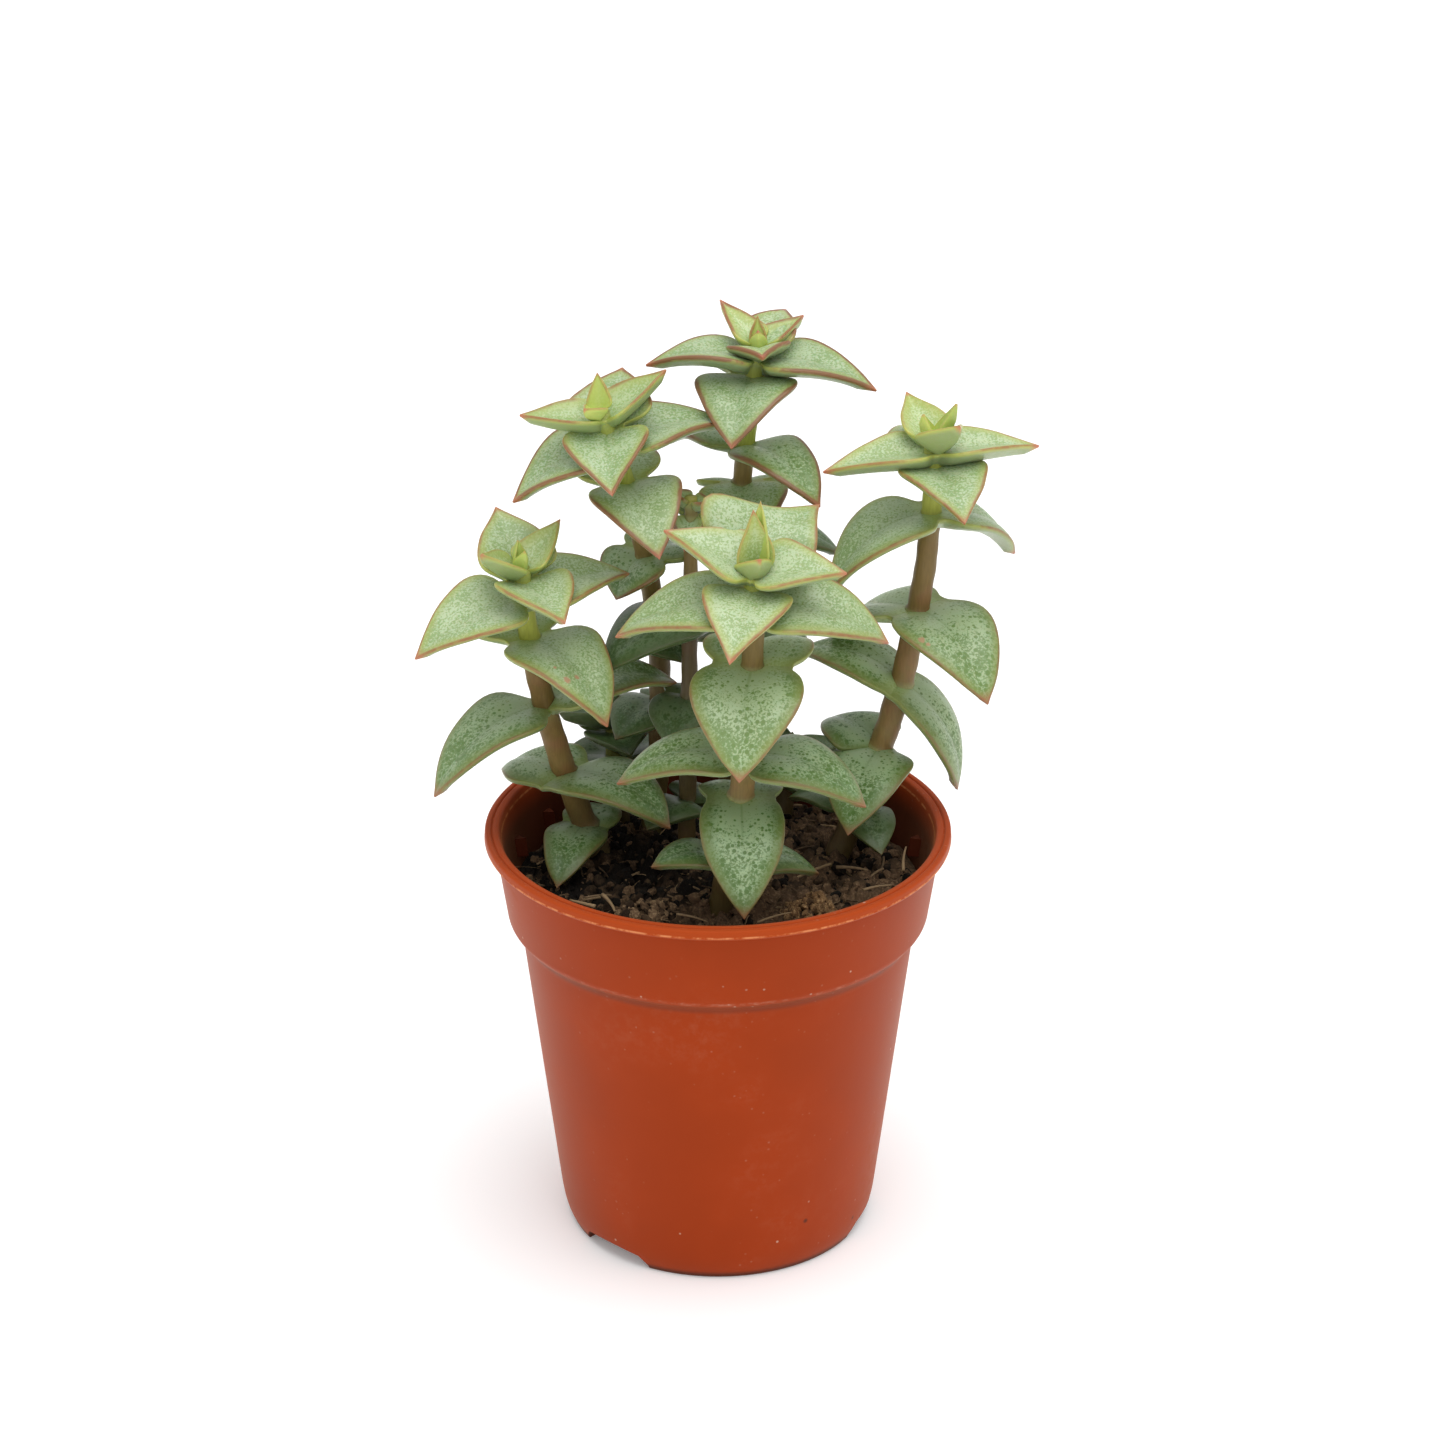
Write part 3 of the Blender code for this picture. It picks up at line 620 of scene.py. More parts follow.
def dress(thing: Thing, *finishes: Finish) -> None:
    """Give an object its finishes, in the order of its faces' material numbers."""
    # Clearing a list that is empty would set all those numbers back to 0
    if thing.data.materials:
        thing.data.materials.clear()
    for finish in finishes:
        thing.data.materials.append(finish.material())


def placed(point: Sequence[float]) -> Vector:
    """A point in metres, from one in millimetres off the pot's axis."""
    return Vector((point[0] * MM + POT_AXIS_X, point[1] * MM, point[2] * MM))


def arch(share: float) -> float:
    """1 in the middle of a stretch and 0 at both its ends."""
    return 4.0 * share * (1.0 - share)


def bell(offset: float, reach: float) -> float:
    """1 at no offset, fading smoothly to nearly 0 at twice the reach."""
    return math.exp(-((offset / reach) ** 2))


def set_attribute(mesh: Mesh, name: str, vectors: Sequence[Sequence[float]]) -> None:
    """Store one vector for each vertex of a mesh."""
    attribute = mesh.attributes.new(name, "FLOAT_VECTOR", "POINT")
    attribute.data.foreach_set("vector", [number for vector in vectors for number in vector])


def through(places: Sequence[float], heights: Sequence[float], place: float) -> float:
    """A smooth curve through points.

    Args:
        places: where the points lie, in rising order.
        heights: the curve's height at each.
        place: where to read the curve.

    Returns:
        The height there, by a cubic whose slopes are those between the neighbouring points.
    """
    last = len(places) - 1
    k = max(i for i in range(last) if places[i] <= place or i == 0)

    def slope(i: int) -> float:
        before, after = max(0, i - 1), min(last, i + 1)
        return (heights[after] - heights[before]) / (places[after] - places[before])

    gap = places[k + 1] - places[k]
    t = (place - places[k]) / gap
    rest = 1.0 - t
    from_first = heights[k] * (1.0 + 2.0 * t) + slope(k) * gap * t
    from_next = heights[k + 1] * (3.0 - 2.0 * t) - slope(k + 1) * gap * rest
    return rest * rest * from_first + t * t * from_next


def rounded_path(corners: Sequence[Triple], steps: int) -> list[Spot]:
    """Round the corners of a path.

    Args:
        corners: each corner's radius from the axis, its height, and how far from the corner the
            rounding starts, all in millimetres.
        steps: points that each rounding has besides its first.

    Returns:
        Points in millimetres.
    """
    path = []
    for index, (radius, z, cut) in enumerate(corners):
        here = Vector((radius, z))
        if cut == 0.0:
            path.append((radius, z))
            continue
        before = Vector(corners[index - 1][:2]) - here
        after = Vector(corners[index + 1][:2]) - here
        start = here + before.normalized() * min(cut, 0.49 * before.length)
        end = here + after.normalized() * min(cut, 0.49 * after.length)
        for step in range(steps + 1):
            t = step / steps
            point = start * (1.0 - t) ** 2 + here * 2.0 * t * (1.0 - t) + end * t ** 2
            path.append((point.x, point.y))
    return path


def turned_mesh(name: str, path: Sequence[Spot], sides: int) -> Mesh:
    """Turn a path round the pot's axis.

    Args:
        name: the mesh's name.
        path: (radius, height) points in millimetres, from a point on the axis to another one,
            with the material on the path's right-hand side.
        sides: faces round the axis.

    Returns:
        A closed mesh.
    """
    points = [Vector((POT_AXIS_X, 0.0, path[0][1] * MM))]
    for radius, z in path[1:-1]:
        for k in range(sides):
            angle = math.tau * k / sides
            points.append(Vector((POT_AXIS_X + radius * MM * math.cos(angle),
                                  radius * MM * math.sin(angle), z * MM)))
    points.append(Vector((POT_AXIS_X, 0.0, path[-1][1] * MM)))
    rings = len(path) - 2
    faces = []
    for k in range(sides):
        after = (k + 1) % sides
        faces.append((0, 1 + k, 1 + after))
        for ring in range(rings - 1):
            low, high = 1 + ring * sides, 1 + (ring + 1) * sides
            faces.append((low + k, high + k, high + after, low + after))
        low = 1 + (rings - 1) * sides
        faces.append((low + k, len(points) - 1, low + after))
    mesh = bpy.data.meshes.new(name)
    mesh.from_pydata(points, [], faces)
    return mesh


@dataclass(frozen=True)
class Leaf:
    """One leaf: azimuth in degrees (0 faces the viewer), length, rise, one-sided shoulder."""

    azimuth: float
    length: float
    rise: float
    shoulder: float = 0.0


@dataclass(frozen=True)
class Pair:
    """Two leaves at one node: its height, their breadth, the leaves and their age."""

    height: float
    breadth: float
    near: Leaf
    far: Leaf
    age: int


@dataclass
class Station:
    """One section of a leaf: its place, directions, half width, thickness and curves."""

    middle: Vector
    side: Vector
    rising: Vector
    half: float
    thickness: float
    cup: float
    along: float
    groove: float
    puff: float


@dataclass(frozen=True)
class LeafForm:
    """How the leaves grow, by age from the youngest pair down. Lengths are millimetres."""

    places: Sequence[float] = (0.00, 0.10, 0.28, 0.54, 0.80, 1.00)
    young: Sequence[float] = (0.30, 0.82, 1.00, 0.74, 0.32, 0.00)
    old: Sequence[float] = (0.75, 0.90, 1.00, 0.84, 0.46, 0.00)
    neck: Sequence[float] = (0.60, 0.40, 0.42, 0.30, 0.50, 0.72, 0.80, 0.80, 0.80)
    curl: Sequence[float] = (12, 8, -20, -52, -70, -75, -75, -75, -75)
    cup: Sequence[float] = (0.50, 0.45, 0.28, 0.15, 0.08, 0.05, -0.05, -0.05, -0.05)
    ripe: Sequence[float] = (0.3, 0.2, 0.0, 0.0, 0.5, 0.8, 1.0, 1.0, 1.0)
    tone: Sequence[float] = (0.02, 0.07, 0.15, 0.25, 0.45, 0.70, 0.85, 0.95, 1.0)
    red: Sequence[float] = (0.25, 0.5, 0.9, 1.0, 1.0, 0.9, 0.8, 0.75, 0.7)
    puff: Sequence[float] = (0.0, 0.0, 0.04, 0.06, 0.08, 0.08, 0.08, 0.08, 0.08)
    edge: float = 0.7
    thickness: float = 2.0
    full_length: float = 15.0
    small_thickness: float = 0.45
    tip_thinning: float = 0.45
    corner: float = 0.2
    inset: float = 0.35
    groove_width: float = 0.45
    sway: float = 0.02
    twist: float = 0.12
    least_wave: float = 0.05
    most_wave: float = 0.13
    shoulder_place: float = 0.38
    shoulder_reach: float = 0.22
    shoulder_lift: float = 0.3
    shoulder_turn: float = 0.19
    neck_reach: float = 0.07
    lone_neck: float = 0.55
    lone_reach: float = 0.1
    heel: float = 0.6
    tip_drop: float = 0.08
    crowding: float = 1.05
    opening: float = 6.0
    ripple: float = 0.3
    ripples: float = 9.0
    thinnest: float = 0.25
    thickest: float = 1.1
    young_groove: float = 0.05
    ripe_groove: float = 0.10
    spread_station: int = 8
    stations: int = 30
    upper_points: int = 15
    lower_points: int = 11
    opposite_limit: float = 140.0
    young_limit: float = 105.0
    young_limit_age: int = 2


FORM = LeafForm()


@dataclass
class LeafMesh:
    """Vertices, faces and attributes of a leafy shoot, gathered blade by blade."""

    points: list[Vector] = field(default_factory=list)
    faces: list[tuple[int, ...]] = field(default_factory=list)
    skins: list[int] = field(default_factory=list)
    place: list[Triple] = field(default_factory=list)
    kind: list[Triple] = field(default_factory=list)

    def add_ring(self, ring: Ring, kind: Triple) -> range:
        """Add a ring of vertices and return their numbers."""
        first = len(self.points)
        for point, along, across, margin in ring:
            self.points.append(point)
            self.place.append((along, across, margin))
            self.kind.append(kind)
        return range(first, len(self.points))

    def loft(self, rings: Sequence[range], skin: Skin) -> None:
        """Join rings of equal length, each to the next, and close both ends, which are points."""
        first, last = rings[0][0], rings[-1][0]
        body = rings[1:-1]
        count = len(body[0])
        for k in range(count):
            after = (k + 1) % count
            self.faces.append((first, body[0][after], body[0][k]))
            for ring, following in zip(body, body[1:]):
                self.faces.append((ring[k], ring[after], following[after], following[k]))
            self.faces.append((last, body[-1][k], body[-1][after]))
        self.skins += [skin.value] * (count * (len(body) + 1))

    def mesh(self, name: str) -> Mesh:
        """Make the Blender mesh, with its faces outwards."""
        mesh = bpy.data.meshes.new(name)
        mesh.from_pydata(self.points, [], self.faces)
        mesh.polygons.foreach_set("material_index", self.skins)
        set_attribute(mesh, "leaf_place", self.place)
        set_attribute(mesh, "leaf_kind", self.kind)
        shape = bmesh.new()
        shape.from_mesh(mesh)
        bmesh.ops.recalc_face_normals(shape, faces=shape.faces)
        shape.to_mesh(mesh)
        shape.free()
        mesh.shade_smooth()
        return mesh


@dataclass
class Shoot:
    """One leafy shoot: a stem with its leaf pairs, fused where they meet.

    The stem runs from its root at the soil to its crown. The bow is how far its middle swings
    out, and the tilt is the crown's lean and its azimuth, in degrees. Leaves and stem below a
    height are darkened by the shade, which is painted shade. The dusk makes all of them look
    riper and darker, partly as painted shade, and the flush redder.
    """

    name: str
    root: Spot
    crown: Triple
    bow: Spot
    tilt: Spot
    girth: float
    pairs: Sequence[Pair]
    shade: float = 0.0
    shade_below: float = 0.0
    dusk: float = 0.0
    fresh_pairs: int = 5
    flush: float = 0.0
    base_radius: float = 1.5
    top_radius: float = 1.0
    root_depth: float = 7.0
    soil_z: float = 45.2
    stem_sides: int = 20
    stem_steps_per_mm: float = 3.0
    stem_end: float = 0.4
    node_flare: float = 0.22
    flare_below: float = 0.7
    flare_above: float = 0.12
    shade_fade: float = 6.0

    def share(self, z: float) -> float:
        """How far up from the soil to the crown a height is."""
        return (z - self.soil_z) / (self.crown[2] - self.soil_z)

    def stem_point(self, z: float) -> Vector:
        """Middle of the stem at a height, in millimetres from the pot's axis."""
        share = self.share(z)
        swell = arch(share) if share > 0.0 else 4.0 * share
        x, y = (foot + (head - foot) * share + bow * swell
                for foot, head, bow in zip(self.root, self.crown, self.bow))
        return Vector((x, y, z))

    def near_node(self, z: float) -> float:
        """How much the stem takes part in the nearest pair: 1 at a node, fading downwards."""
        most = 0.0
        for pair in self.pairs:
            gap = pair.height - z
            reach = self.flare_below if gap > 0.0 else self.flare_above
            most = max(most, math.exp(-abs(gap) / reach))
        return most

    def stem_radius(self, z: float) -> float:
        """Radius of the stem at a height, with a flare under each pair."""
        share = min(1.0, max(0.0, self.share(z)))
        radius = self.base_radius + (self.top_radius - self.base_radius) * share ** 2
        return radius * self.girth * (1.0 + self.node_flare * self.near_node(z))

    def up(self, z: float) -> Vector:
        """Direction of growth at a height."""
        degrees, azimuth = self.tilt
        tilt = math.radians(degrees) * self.share(z) ** 3
        angle = math.radians(azimuth)
        return Vector((math.sin(tilt) * math.sin(angle), -math.sin(tilt) * math.cos(angle),
                       math.cos(tilt)))

    def stations(self, pair: Pair, leaf: Leaf, chance: random.Random) -> list[Station]:
        """Sections along one leaf from the stem outward, the last of them at its tip.

        Args:
            pair: the pair that the leaf belongs to.
            leaf: the leaf.
            chance: source of the leaf's own small unevenness.

        Returns:
            The sections. The midrib is an arc of a circle.
        """
        node = self.stem_point(pair.height)
        up = self.up(pair.height)
        angle = math.radians(leaf.azimuth)
        side = Vector((math.cos(angle), math.sin(angle), 0.0))
        out = side.cross(up).normalized()
        side = up.cross(out)
        curl = math.radians(FORM.curl[pair.age])
        start = math.radians(leaf.rise) - 0.5 * curl
        size = min(1.0, leaf.length / FORM.full_length)
        full = FORM.thickness * (FORM.small_thickness + (1.0 - FORM.small_thickness) * size)
        ripe = FORM.ripe[pair.age]
        sway = chance.uniform(-FORM.sway, FORM.sway) * leaf.length
        twist = chance.uniform(-FORM.twist, FORM.twist)
        wave = chance.uniform(FORM.least_wave, FORM.most_wave)
        phase = chance.uniform(0.0, math.tau)
        found = []
        for step in range(FORM.stations + 1):
            along = 0.5 - 0.5 * math.cos(math.pi * (step / FORM.stations) ** FORM.crowding)
            pitch = start + curl * along
            ahead = (math.sin(pitch) - math.sin(start)) / curl
            above = (math.cos(start) - math.cos(pitch)) / curl
            belly = arch(along)
            opening = min(1.0, FORM.opening * along)
            middle = node + (out * ahead + up * above) * leaf.length + side * (sway * belly)
            rising = up * math.cos(pitch) - out * math.sin(pitch)
            bump = bell(along - FORM.shoulder_place, FORM.shoulder_reach) * opening
            bump *= 0.5 * leaf.shoulder
            turn = Matrix.Rotation(twist * along + FORM.shoulder_turn * bump, 3,
                                   out * math.cos(pitch) + up * math.sin(pitch))
            young = through(FORM.places, FORM.young, along)
            old = through(FORM.places, FORM.old, along)
            outline = young + (old - young) * ripe
            outline += (FORM.neck[pair.age] - outline) * bell(along, FORM.neck_reach)
            ripple = wave * FORM.ripple * math.sin(FORM.ripples * along + phase) * belly
            half = 0.5 * pair.breadth * outline * (1.0 + ripple) + bump
            middle += side * bump + rising * (FORM.shoulder_lift * bump)
            thickness = full * (1.0 - FORM.tip_thinning * along ** 2)
            thickness = min(thickness, FORM.thinnest + FORM.thickest * max(0.0, half))
            groove = FORM.young_groove + FORM.ripe_groove * ripe
            groove *= size * (1.0 - along) * opening
            puff = FORM.puff[pair.age] * half * belly
            found.append(Station(middle, turn @ side, turn @ rising, half, thickness,
                                 FORM.cup[pair.age], along, groove, puff))
        return found

    @staticmethod
    def ring(at: Station) -> Ring:
        """Points round one section: the upper side, a margin, the lower side, a margin."""
        corner = min(FORM.corner, 0.3 * at.half)
        edge = min(FORM.edge, 0.75 * at.thickness)
        inset = min(FORM.inset * edge, 0.2 * at.half)
        lift = at.cup * at.half
        flat = at.half - corner
        outline = []

        def put(x: float, y: float, across: float, margin: float) -> None:
            outline.append((placed(at.middle + at.side * x + at.rising * y), at.along, across,
                            margin))

        last = FORM.upper_points - 1
        for k in range(FORM.upper_points):
            across = math.sin(0.5 * math.pi * (2.0 * k / last - 1.0))
            dip = at.groove * bell(across * flat, FORM.groove_width)
            swell = at.puff * math.sin(math.pi * abs(across))
            put(across * flat, lift * abs(across) ** 1.5 + swell - dip, across,
                (1.0 - abs(across)) * flat)
        right = []
        for degrees in (30, 60, 90):
            turn = math.radians(degrees)
            right.append((flat + corner * math.sin(turn), lift - corner * (1.0 - math.cos(turn)),
                          -corner * turn))
        for share in (0.5, 1.0):
            drop = corner + (edge - corner) * share
            right.append((at.half - inset * share ** 2, lift - drop, -drop - 0.57 * corner))
        for x, y, margin in right:
            put(x, y, 1.0, margin)
        bottom = at.half - inset
        last = FORM.lower_points + 1
        for k in range(1, last):
            across = math.sin(0.5 * math.pi * (1.0 - 2.0 * k / last))
            rise = (at.thickness + lift - edge) * abs(across) ** 1.8
            put(across * bottom, rise - at.thickness, across, -edge - (1.0 - abs(across)) * bottom)
        for x, y, margin in reversed(right):
            put(-x, y, -1.0, margin)
        return outline

    @staticmethod
    def end_point(at: Station, drop: float, along: float) -> Ring:
        """One point that closes a blade, under the middle of a section."""
        return [(placed(at.middle - at.rising * drop), along, 0.0, 0.0)]

    def add_blade(self, sections: Sequence[Station], ends: Sequence[Ring], kind: Triple,
                  into: LeafMesh) -> None:
        """Add one blade: a closing point, the rings of its sections and a closing point."""
        outlines = [ends[0], *(self.ring(at) for at in sections), ends[1]]
        into.loft([into.add_ring(outline, kind) for outline in outlines], Skin.LEAF)

    def add_pair(self, pair: Pair, chance: random.Random, into: LeafMesh) -> None:
        """Add two leaves: one blade from tip to tip where they stand opposite, else two."""
        node = self.stem_point(pair.height)
        near = self.stations(pair, pair.near, chance)
        far = self.stations(pair, pair.far, chance)
        tone = min(1.0, FORM.tone[pair.age] + self.dusk)
        # Pairs below the shade height get painted shade, and a fainter red line
        deep = self.shade if pair.height < self.shade_below else 0.0
        red = (FORM.red[pair.age] + self.flush) * (1.0 - deep)
        kinds = [(1.0 + deep if deep else tone, chance.random(), red) for _ in range(2)]
        spread = (near[FORM.spread_station].middle - node).angle(
            far[FORM.spread_station].middle - node)
        young = pair.age == FORM.young_limit_age
        limit = FORM.young_limit if young else FORM.opposite_limit
        if spread < math.radians(limit):
            for leaf, kind in zip((near, far), kinds):
                heel = self.end_point(leaf[0], FORM.heel * leaf[0].thickness, 0.0)
                for at in leaf:
                    at.half *= 1.0 - FORM.lone_neck * bell(at.along, FORM.lone_reach)
                tip = self.end_point(leaf[-1], FORM.tip_drop, 1.0)
                self.add_blade(leaf[:-1], (heel, tip), kind, into)
            return
        self.join(near, far)
        turned = [replace(at, side=-at.side) for at in reversed(near[1:-1])]
        tips = [self.end_point(leaf[-1], FORM.tip_drop, 1.0) for leaf in (near, far)]
        self.add_blade(turned + far[:-1], tips, kinds[0], into)

    @staticmethod
    def join(near: list[Station], far: list[Station]) -> None:
        """Turn the first sections of two leaves into each other, so that the pair is fused."""
        side = (far[0].side - near[0].side).normalized()
        rising = (far[0].rising + near[0].rising).normalized()
        thickness = 0.5 * (near[0].thickness + far[0].thickness)
        half = 0.5 * (near[0].half + far[0].half)
        for leaf, sign in ((near, -1.0), (far, 1.0)):
            for at in leaf:
                share = bell(at.along, FORM.neck_reach)
                at.side = (at.side * (1.0 - share) + side * sign * share).normalized()
                at.rising = (at.rising * (1.0 - share) + rising * share).normalized()
                at.half += (half - leaf[0].half) * share
                at.thickness += (thickness - leaf[0].thickness) * share

    def add_stem(self, chance: random.Random, into: LeafMesh) -> None:
        """Add the stem, from its rooted end to just under the crown."""
        low = self.soil_z - self.root_depth
        high = self.crown[2] - self.stem_end
        fresh_z = self.pairs[:self.fresh_pairs][-1].height
        steps = int((high - low) * self.stem_steps_per_mm)
        seed = chance.random()
        rings = []
        for step in range(steps + 1):
            z = low + (high - low) * step / steps
            middle = self.stem_point(z)
            up = (self.stem_point(z + 0.5) - self.stem_point(z - 0.5)).normalized()
            side = up.cross(Vector((0.0, 1.0, 0.0))).normalized()
            forward = up.cross(side)
            radius = self.stem_radius(z)
            ring = []
            for k in range(self.stem_sides):
                angle = -math.tau * k / self.stem_sides
                uneven = 1.0 + 0.03 * math.sin(3.0 * angle + 0.9 * z) + 0.02 * math.sin(2.1 * z)
                away = (side * math.cos(angle) + forward * math.sin(angle)) * radius * uneven
                ring.append((placed(middle + away), self.share(z), 0.0, self.near_node(z)))
            fresh = min(1.0, max(0.0, z - fresh_z + 0.6)) * (1.0 - self.dusk)
            # Painted shade on the stem below the shade height, fading in over shade_fade
            # millimetres
            dim = min(1.0, max(0.0, 0.5 + (self.shade_below - z) / self.shade_fade))
            kind = (0.8 * self.shade * dim, seed, fresh)
            if step in (0, steps):
                end = into.add_ring([(placed(middle), self.share(z), 0.0, 0.0)], kind)
            if step == 0:
                rings.append(end)
            rings.append(into.add_ring(ring, kind))
        rings.append(end)
        into.loft(rings, Skin.STEM)

    def build(self) -> Thing:
        """Build and dress the shoot, in the place of its CAD node."""
        chance = random.Random(self.name)
        gathered = LeafMesh()
        for pair in self.pairs:
            self.add_pair(pair, chance, gathered)
        self.add_stem(chance, gathered)
        thing = new_object(self.name + "_leaves", gathered.mesh(self.name + "_leaves"))
        dress(thing, LEAF, STEM)
        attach(thing, BODY)
        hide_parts(self.name)
        return thing


def pairs(*rows: tuple) -> list[Pair]:
    """Leaf pairs from rows of age, height, breadth, near leaf and far leaf."""
    return [Pair(height, breadth, Leaf(*near), Leaf(*far), age)
            for age, height, breadth, near, far in rows]


# Name, root, crown, bow, tilt and girth of each shoot, then its pairs from the crown down
SHOOTS = (
    Shoot("shoot_front", (0.3, -9.6), (4.0, -14.0, 90.0), (1.2, -0.3), (16, 5), 1.0, pairs(
        (0, 88.9, 3.2, (-15, 1.8, 62), (165, 9.0, 77)),
        (1, 89.0, 4.4, (12, 4.8, 58), (190, 8.0, 80)),
        (2, 88.9, 9.0, (-108, 11.3, 18), (80, 10.7, 11)),
        (3, 87.2, 10.4, (-13, 13.0, -7), (147, 14.8, 14, 4.8)),
        (4, 84.8, 12.3, (-88, 17.1, -14), (86, 16.8, -14)),
        (5, 77.5, 12.8, (-7, 15.7, -35), (172, 14.3, -22)),
        (6, 65.9, 12.0, (-83, 16.3, -11), (70, 16.3, -16)),
        (7, 60.5, 10.0, (2, 16.3, -43), (180, 12.7, -31)),
        (8, 51.8, 9.5, (-66, 10.8, 6), (96, 11.5, -13)),
    )),
    Shoot("shoot_left", (-14.5, 5.5), (-22.6, -2.0, 85.0), (-1.6, 0.4), (10, 30), 1.0, pairs(
        (0, 84.9, 2.0, (30, 2.7, 74), (-150, 3.2, 75)),
        (1, 84.1, 5.0, (-56, 6.8, 36), (142, 8.0, 34)),
        (2, 83.0, 9.6, (30, 10.8, 2), (-158, 10.7, 25)),
        (3, 80.4, 12.0, (-62, 15.0, -20), (115, 13.8, 5)),
        (4, 75.2, 12.5, (42, 16.3, -22), (-146, 13.8, -13)),
        (5, 65.8, 11.5, (-58, 18.3, -29), (105, 17.3, 4)),
        (6, 56.3, 11.5, (57, 16.5, -13), (-132, 11.0, -14)),
        (7, 49.0, 7.5, (-19, 11.3, -23), (158, 6.3, -2)),
    ), shade=0.25, shade_below=49.0),
    Shoot("shoot_right", (14.4, 5.0), (24.7, 4.0, 98.2), (3.0, 1.4), (3, 0), 1.0, pairs(
        (0, 98.2, 2.2, (-100, 3.3, 69), (96, 5.0, 61)),
        (1, 97.4, 6.0, (32, 6.7, 41), (-160, 9.2, 21)),
        (2, 96.5, 8.2, (-80, 13.1, -6), (102, 12.6, -1)),
        (3, 94.7, 10.6, (16, 12.1, -11), (-162, 11.3, 4)),
        (4, 88.9, 12.0, (-66, 16.3, -31), (114, 14.2, -33)),
        (5, 76.4, 12.2, (35, 16.5, -28), (-134, 16.6, -33)),
        (6, 67.2, 10.5, (-112, 14.5, 7), (74, 16.3, -62)),
        (7, 58.7, 10.5, (-20, 14.7, -27), (-140, 10.5, 1)),
        (8, 51.0, 7.0, (-122, 10.7, -8), (18, 9.4, -17)),
    ), shade=0.55, shade_below=52.0),
    Shoot("shoot_back_left", (-8.0, 12.0), (-13.4, 2.0, 102.3), (3.3, 3.0), (10, -30), 0.9, pairs(
        (0, 102.2, 3.0, (-30, 3.8, 35), (178, 4.6, 68)),
        (1, 101.1, 5.8, (-84, 9.6, 13), (114, 9.2, 27)),
        (2, 99.8, 9.8, (3, 11.1, -14), (170, 10.7, 14)),
        (3, 97.5, 11.5, (-68, 13.8, -17), (108, 14.8, -1)),
        (4, 92.4, 10.8, (18, 13.8, -19), (-160, 12.8, -10)),
        (5, 82.4, 10.0, (-46, 7.0, -42), (134, 7.5, -18)),
        (6, 71.8, 8.5, (40, 6.4, -25), (-135, 7.9, -20)),
        (7, 62.2, 9.0, (-48, 8.4, -23), (138, 5.3, -24)),
    ), shade=0.6, shade_below=75.0, flush=0.5),
    Shoot("shoot_tall", (1.5, 18.0), (4.7, 13.0, 106.0), (-1.2, 0.8), (3, -40), 0.9, pairs(
        (0, 106.0, 2.2, (0, 2.8, 71), (180, 3.8, 71)),
        (1, 106.0, 4.6, (-142, 8.1, 30), (124, 6.9, 22)),
        (3, 105.5, 7.4, (5, 6.8, 17), (158, 9.6, 12)),
        (3, 104.3, 9.3, (-80, 13.5, 4), (75, 15.0, -10)),
        (4, 102.4, 11.8, (-14, 13.3, -20), (166, 12.9, -16)),
        (5, 93.5, 9.6, (38, 15.3, -14), (-128, 14.0, -11)),
        (4, 88.6, 10.4, (6, 11.2, -32), (186, 5.5, -39)),
        (7, 82.1, 10.0, (80, 13.6, -9), (-100, 6.4, -21)),
        (8, 75.3, 9.0, (-12, 8.5, -32), (168, 6.4, -23)),
        (8, 69.9, 9.0, (84, 11.6, -20), (-96, 6.4, -23)),
    ), shade=0.5, shade_below=85.0, flush=0.7, fresh_pairs=6),
    Shoot("shoot_inner", (-3.8, 4.0), (-3.1, 5.0, 91.2), (0.1, 0.0), (6, 60), 0.7, pairs(
        (1, 90.0, 3.0, (78, 2.8, 16), (-102, 2.7, 32)),
        (2, 88.4, 4.0, (-8, 4.8, -35), (172, 3.8, 5)),
        (6, 76.4, 11.5, (-53, 14.2, -20), (127, 6.2, -20)),
        (6, 65.9, 8.5, (-28, 7.5, -36), (150, 5.8, -23)),
        (7, 58.2, 8.0, (-80, 5.6, -12), (100, 5.3, -22)),
        (8, 52.5, 8.5, (-40, 8.0, -10), (140, 6.0, -10)),
    ), shade=0.8, shade_below=80.0, dusk=0.5, flush=0.8, fresh_pairs=1),
    Shoot("shoot_back_right", (8.0, 17.5), (8.2, 18.2, 52.3), (0.1, 0.1), (6, 150), 0.8, pairs(
        (0, 52.0, 3.0, (20, 4.0, 62), (200, 4.0, 62)),
        (1, 51.2, 6.0, (-70, 5.0, 14), (98, 9.0, 16)),
        (2, 49.8, 8.0, (15, 6.5, -2), (195, 4.0, 24)),
    ), shade=0.8, shade_below=60.0),
    Shoot("shoot_back", (-12.0, 15.5), (-12.5, 16.0, 59.0), (-0.3, 0.3), (14, 215), 0.8, pairs(
        (0, 58.6, 3.0, (20, 4.5, 62), (200, 4.5, 62)),
        (1, 57.6, 6.0, (-70, 7.0, 18), (110, 5.0, 14)),
        (2, 55.8, 8.5, (15, 8.0, -2), (195, 7.0, 14)),
        (3, 52.6, 8.0, (-75, 7.7, -2), (105, 9.5, 4)),
    ), shade=0.8, shade_below=60.0),
)


